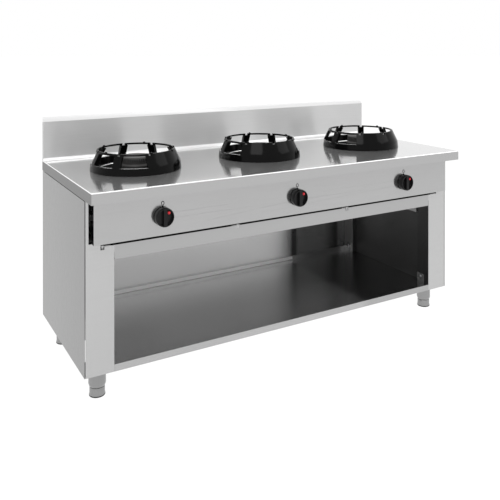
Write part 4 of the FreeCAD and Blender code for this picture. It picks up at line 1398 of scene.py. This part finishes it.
@dataclass
class RangeLeg:
    """Leg tube with its flange, stud and tapered threaded end."""

    name: str
    place: tuple[float, float]

    def build(self) -> bpy.types.Object:
        """Build and dress the leg.

        Returns:
            The leg's object.
        """
        centre = (*self.place, 0.0)
        piece = Piece(f"leg_tube_{self.name}")
        profile = [
            (0.0, 0.1020),
            (0.0305, 0.1020),
            (0.0305, 0.0500),
            (0.01005, 0.0500),
            (0.01005, 0.0340),
            (0.0272, 0.0340),
            (0.0285, 0.0350),
            (0.0316, 0.0432),
            (0.0322, 0.0448),
            (0.0325, 0.0468),
            (0.0325, 0.1036),
            (0.0335, 0.1048),
            (0.0380, 0.1048),
            (0.0380, 0.1075),
            (0.0050, 0.1075),
            (0.0050, 0.1268),
            (0.0043, 0.1275),
            (0.0, 0.1275),
        ]
        piece.turn(profile, centre, 72)
        thing = piece.object()
        soften(thing)
        node = f"leg_{self.name}"
        settle(thing, [LEG_STEEL], Slot.STEEL, "root", [node])
        return thing


@dataclass
class ShelfScrews:
    """The four pan-head screws that hold the shelf, each with a cross recess."""

    face: float = 0.7872
    height: float = 0.1605
    rows: tuple[float, float] = (-0.2355, 0.3375)
    corners: int = 32
    cross_length: float = 0.0042
    cross_width: float = 0.0011
    cross_depths: tuple[float, float] = (0.0045, 0.0012)

    def build(self) -> bpy.types.Object:
        """Build and dress the screws.

        Returns:
            The screws' object.
        """
        piece = Piece("shelf_screw_heads")
        for side in (1, -1):
            for row in self.rows:
                self._screw(piece, side, row)
        thing = piece.object()
        for side in (1, -1):
            for row in self.rows:
                self._cross(thing, side, row, self.cross_length, self.cross_width)
                self._cross(thing, side, row, self.cross_width, self.cross_length)
        soften(thing)
        settle(thing, [ZINC], Slot.ZINC, "root", ["shelf_screws"])
        return thing

    def _screw(self, piece: Piece, side: int, row: float) -> None:
        """Add one screw to the piece.

        Args:
            piece: the screws' mesh.
            side: 1 for the right end of the shelf, -1 for the left one.
            row: the screw's Y.
        """
        rings = [
            (0.0078, 0.0030),
            (0.0002, 0.0030),
            (0.0, 0.0055),
            (-0.0012, 0.0053),
            (-0.0022, 0.0044),
            (-0.0028, 0.0030),
            (-0.0030, 0.0010),
        ]
        piece.loft(
            [
                [(side * (self.face + along), row + y, self.height + z) for y, z in circle(r, self.corners)]
                for along, r in rings
            ]
        )

    def _cross(self, thing: bpy.types.Object, side: int, row: float, wide: float, tall: float) -> None:
        """Cut one arm of a screw's cross recess.

        Args:
            thing: the screws' object.
            side: 1 for the right end of the shelf, -1 for the left one.
            row: the screw's Y.
            wide: the arm, front to back.
            tall: the arm, top to bottom.
        """
        cutter = Piece("cross_arm")
        near, far = row - wide / 2, row + wide / 2
        foot, head = self.height - tall / 2, self.height + tall / 2
        outline = [(near, foot), (far, foot), (far, head), (near, head)]
        low, high = (self.face - depth for depth in self.cross_depths)
        cutter.extrude(outline, low, high, lambda y, z, x: (side * x, y, z))
        carve(thing, cutter.object())


@dataclass(frozen=True)
class NodeFinish:
    """How CAD nodes whose names start in one way are dressed."""

    start: str
    finish: Finish
    rounding: float = 0.0004


CAD_FINISHES = (
    NodeFinish("worktop", TOP_STEEL, 0.0),
    NodeFinish("splashback", SPLASH_STEEL, 0.0008),
    NodeFinish("control_panel", PANEL_STEEL, 0.0006),
    NodeFinish("front_frame", FRAME_STEEL, 0.0005),
    NodeFinish("side_panel", SIDE_STEEL, 0.0005),
    NodeFinish("bottom_shelf", SHELF_STEEL, 0.0005),
    NodeFinish("back_panel", BACK_STEEL, 0.0),
    NodeFinish("inner_wall", INNER_WALL_STEEL, 0.0),
    NodeFinish("rear_post", POST_STEEL, 0.0004),
    NodeFinish("rear_cross_rail", TRAY_STEEL, 0.0004),
    NodeFinish("side_rails", TRAY_STEEL, 0.0004),
    NodeFinish("front_beam", GALVANISED, 0.0),
    NodeFinish("tray_runners", TRAY_STEEL, 0.0),
    NodeFinish("drip_tray", DRIP_STEEL, 0.0004),
    NodeFinish("base_plates", GALVANISED, 0.0003),
    NodeFinish("leg_nuts", ZINC, 0.0004),
    NodeFinish("gas_manifold", GALVANISED, 0.0),
    NodeFinish("gas_valve", BRASS, 0.0004),
    NodeFinish("valve_stem", ZINC, 0.0003),
    NodeFinish("burner_pipe", ALUMINIUM, 0.0),
    NodeFinish("injectors", BRASS, 0.0003),
    NodeFinish("burner_bars", GALVANISED, 0.0),
    NodeFinish("burner_body", BODY_IRON, 0.0006),
    NodeFinish("pilot_burners", PILOT_METAL, 0.0003),
    NodeFinish("flame_probes", PILOT_METAL, 0.0003),
)


@dataclass
class CarriedNodes:
    """The CAD nodes that stay in view, with their finishes and rounded edges."""

    nodes: dict[str, bpy.types.Object]

    def build(self) -> None:
        """Dress each CAD node that nothing replaces."""
        for name, thing in sorted(self.nodes.items()):
            if thing.hide_render:
                continue
            chosen = next(row for row in CAD_FINISHES if name.startswith(row.start))
            thing.data.materials.clear()
            thing.data.materials.append(chosen.finish.material())
            if chosen.rounding > 0:
                fold_edges(thing, chosen.rounding)
            log.info("%s: CAD node in %s", name, chosen.finish.name)


@dataclass(frozen=True)
class SoftLamp:
    """A square lamp: its place, what it points at, its side in metres and its power in watts."""

    name: str
    place: Point
    target: Point
    size: float
    power: float

    def build(self) -> None:
        """Hang the lamp."""
        data = bpy.data.lights.new(self.name, "AREA")
        data.size = self.size
        data.energy = self.power
        lamp = bpy.data.objects.new(self.name, data)
        direction = Vector(self.target) - Vector(self.place)
        turn = direction.to_track_quat("-Z", "Y").to_matrix().to_4x4()
        lamp.matrix_world = Matrix.Translation(self.place) @ turn
        bpy.context.scene.collection.objects.link(lamp)


@dataclass
class Studio:
    """Camera, floor, world and lamps."""

    camera_place: Point = (-1.561459, -2.63924, 1.314227)
    camera_yaw: float = 0.531
    camera_pitch: float = 0.003
    lens: float = 47.5014
    shift: tuple[float, float] = (-0.014388, -0.410696)
    world_light: float = 0.5
    floor_white: float = 0.93
    floor_glow: float = 1.08
    floor_grey: float = 0.86
    floor_half: float = 60.0
    floor_drop: float = 0.0005
    lamps: tuple[SoftLamp, ...] = (
        SoftLamp("key_lamp", (-2.0, -2.4, 3.6), (0.0, 0.0, 0.5), 2.2, 55.0),
        SoftLamp("fill_lamp", (2.6, -2.0, 3.0), (0.2, 0.0, 0.4), 2.2, 25.0),
        SoftLamp("back_lamp", (0.4, 2.6, 3.2), (0.0, 0.0, 0.8), 2.0, 30.0),
    )

    def build(self) -> None:
        """Set up everything that isn't part of the range."""
        self._camera()
        self._world()
        self._floor()
        for lamp in self.lamps:
            lamp.build()
        bpy.context.scene.view_settings.view_transform = "Standard"

    def _camera(self) -> None:
        """Stand the camera where the photograph was taken from."""
        data = bpy.data.cameras.new("camera")
        data.sensor_width = 36.0
        data.lens = self.lens
        data.shift_x, data.shift_y = self.shift
        data.clip_end = 60.0
        camera = bpy.data.objects.new("camera", data)
        ahead = Vector(
            (
                math.sin(self.camera_yaw) * math.cos(self.camera_pitch),
                math.cos(self.camera_yaw) * math.cos(self.camera_pitch),
                -math.sin(self.camera_pitch),
            )
        )
        turn = ahead.to_track_quat("-Z", "Y").to_matrix().to_4x4()
        camera.matrix_world = Matrix.Translation(self.camera_place) @ turn
        bpy.context.scene.collection.objects.link(camera)
        bpy.context.scene.camera = camera

    @staticmethod
    def _seen(tree: bpy.types.NodeTree) -> bpy.types.NodeSocket:
        """Tell rays that come from the camera, a mirror or glass from the rest.

        Args:
            tree: the node tree that needs it.

        Returns:
            An output that is 1 for those rays and 0 for the rest.
        """
        path = tree.nodes.new("ShaderNodeLightPath")
        total = path.outputs["Is Camera Ray"]
        for name in ("Is Glossy Ray", "Is Transmission Ray"):
            step = tree.nodes.new("ShaderNodeMath")
            step.operation = "ADD"
            step.use_clamp = True
            tree.links.new(total, step.inputs[0])
            tree.links.new(path.outputs[name], step.inputs[1])
            total = step.outputs[0]
        return total

    def _world(self) -> None:
        """Make the world white where it is seen or mirrored, and a plain level of light elsewhere."""
        world = bpy.data.worlds.new("studio")
        bpy.context.scene.world = world
        world.use_nodes = True
        tree = world.node_tree
        level = tree.nodes.new("ShaderNodeMapRange")
        tree.links.new(self._seen(tree), level.inputs["Value"])
        level.inputs["To Min"].default_value = self.world_light
        level.inputs["To Max"].default_value = 1.0
        background = tree.nodes["Background"]
        background.inputs["Color"].default_value = (1.0, 1.0, 1.0, 1.0)
        tree.links.new(level.outputs[0], background.inputs["Strength"])

    def _floor(self) -> None:
        """Lay a white floor that keeps a soft shadow."""
        half = self.floor_half
        corners = ((-half, -half), (half, -half), (half, half), (-half, half))
        piece = Piece("floor")
        piece.add_faces([[(x, y, -self.floor_drop) for x, y in corners]])
        floor = piece.object()
        material = bpy.data.materials.new("floor_white")
        material.use_nodes = True
        tree = material.node_tree
        tree.nodes.clear()
        output = tree.nodes.new("ShaderNodeOutputMaterial")
        mix = tree.nodes.new("ShaderNodeMixShader")
        paint = tree.nodes.new("ShaderNodeBsdfDiffuse")
        paint.inputs["Color"].default_value = (*grey(self.floor_grey), 1.0)
        glow = tree.nodes.new("ShaderNodeEmission")
        glow.inputs["Strength"].default_value = self.floor_glow
        share = tree.nodes.new("ShaderNodeMath")
        share.operation = "MULTIPLY"
        share.inputs[1].default_value = self.floor_white
        tree.links.new(self._seen(tree), share.inputs[0])
        tree.links.new(share.outputs[0], mix.inputs[0])
        tree.links.new(paint.outputs[0], mix.inputs[1])
        tree.links.new(glow.outputs[0], mix.inputs[2])
        tree.links.new(mix.outputs[0], output.inputs["Surface"])
        floor.data.materials.append(material)


def main() -> None:
    """Load the part, build every piece, and note the sizes."""
    logging.basicConfig(level=logging.INFO, format="%(message)s")
    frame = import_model()
    for number, turn in enumerate((0.0, -52.0, -40.0), start=1):
        WokRing(number, turn).build()
        BurnerCrown(number).build()
        BurnerBowl(number).build()
        ControlKnob(number).build()
        OffMark(number).build()
    for name, place in LEG_PLACES.items():
        RangeLeg(name, place).build()
        RangeFoot(name, place).build()
    ShelfScrews().build()
    CarriedNodes(frame["nodes"]).build()
    Studio().build()


if __name__ == "__main__":
    main()
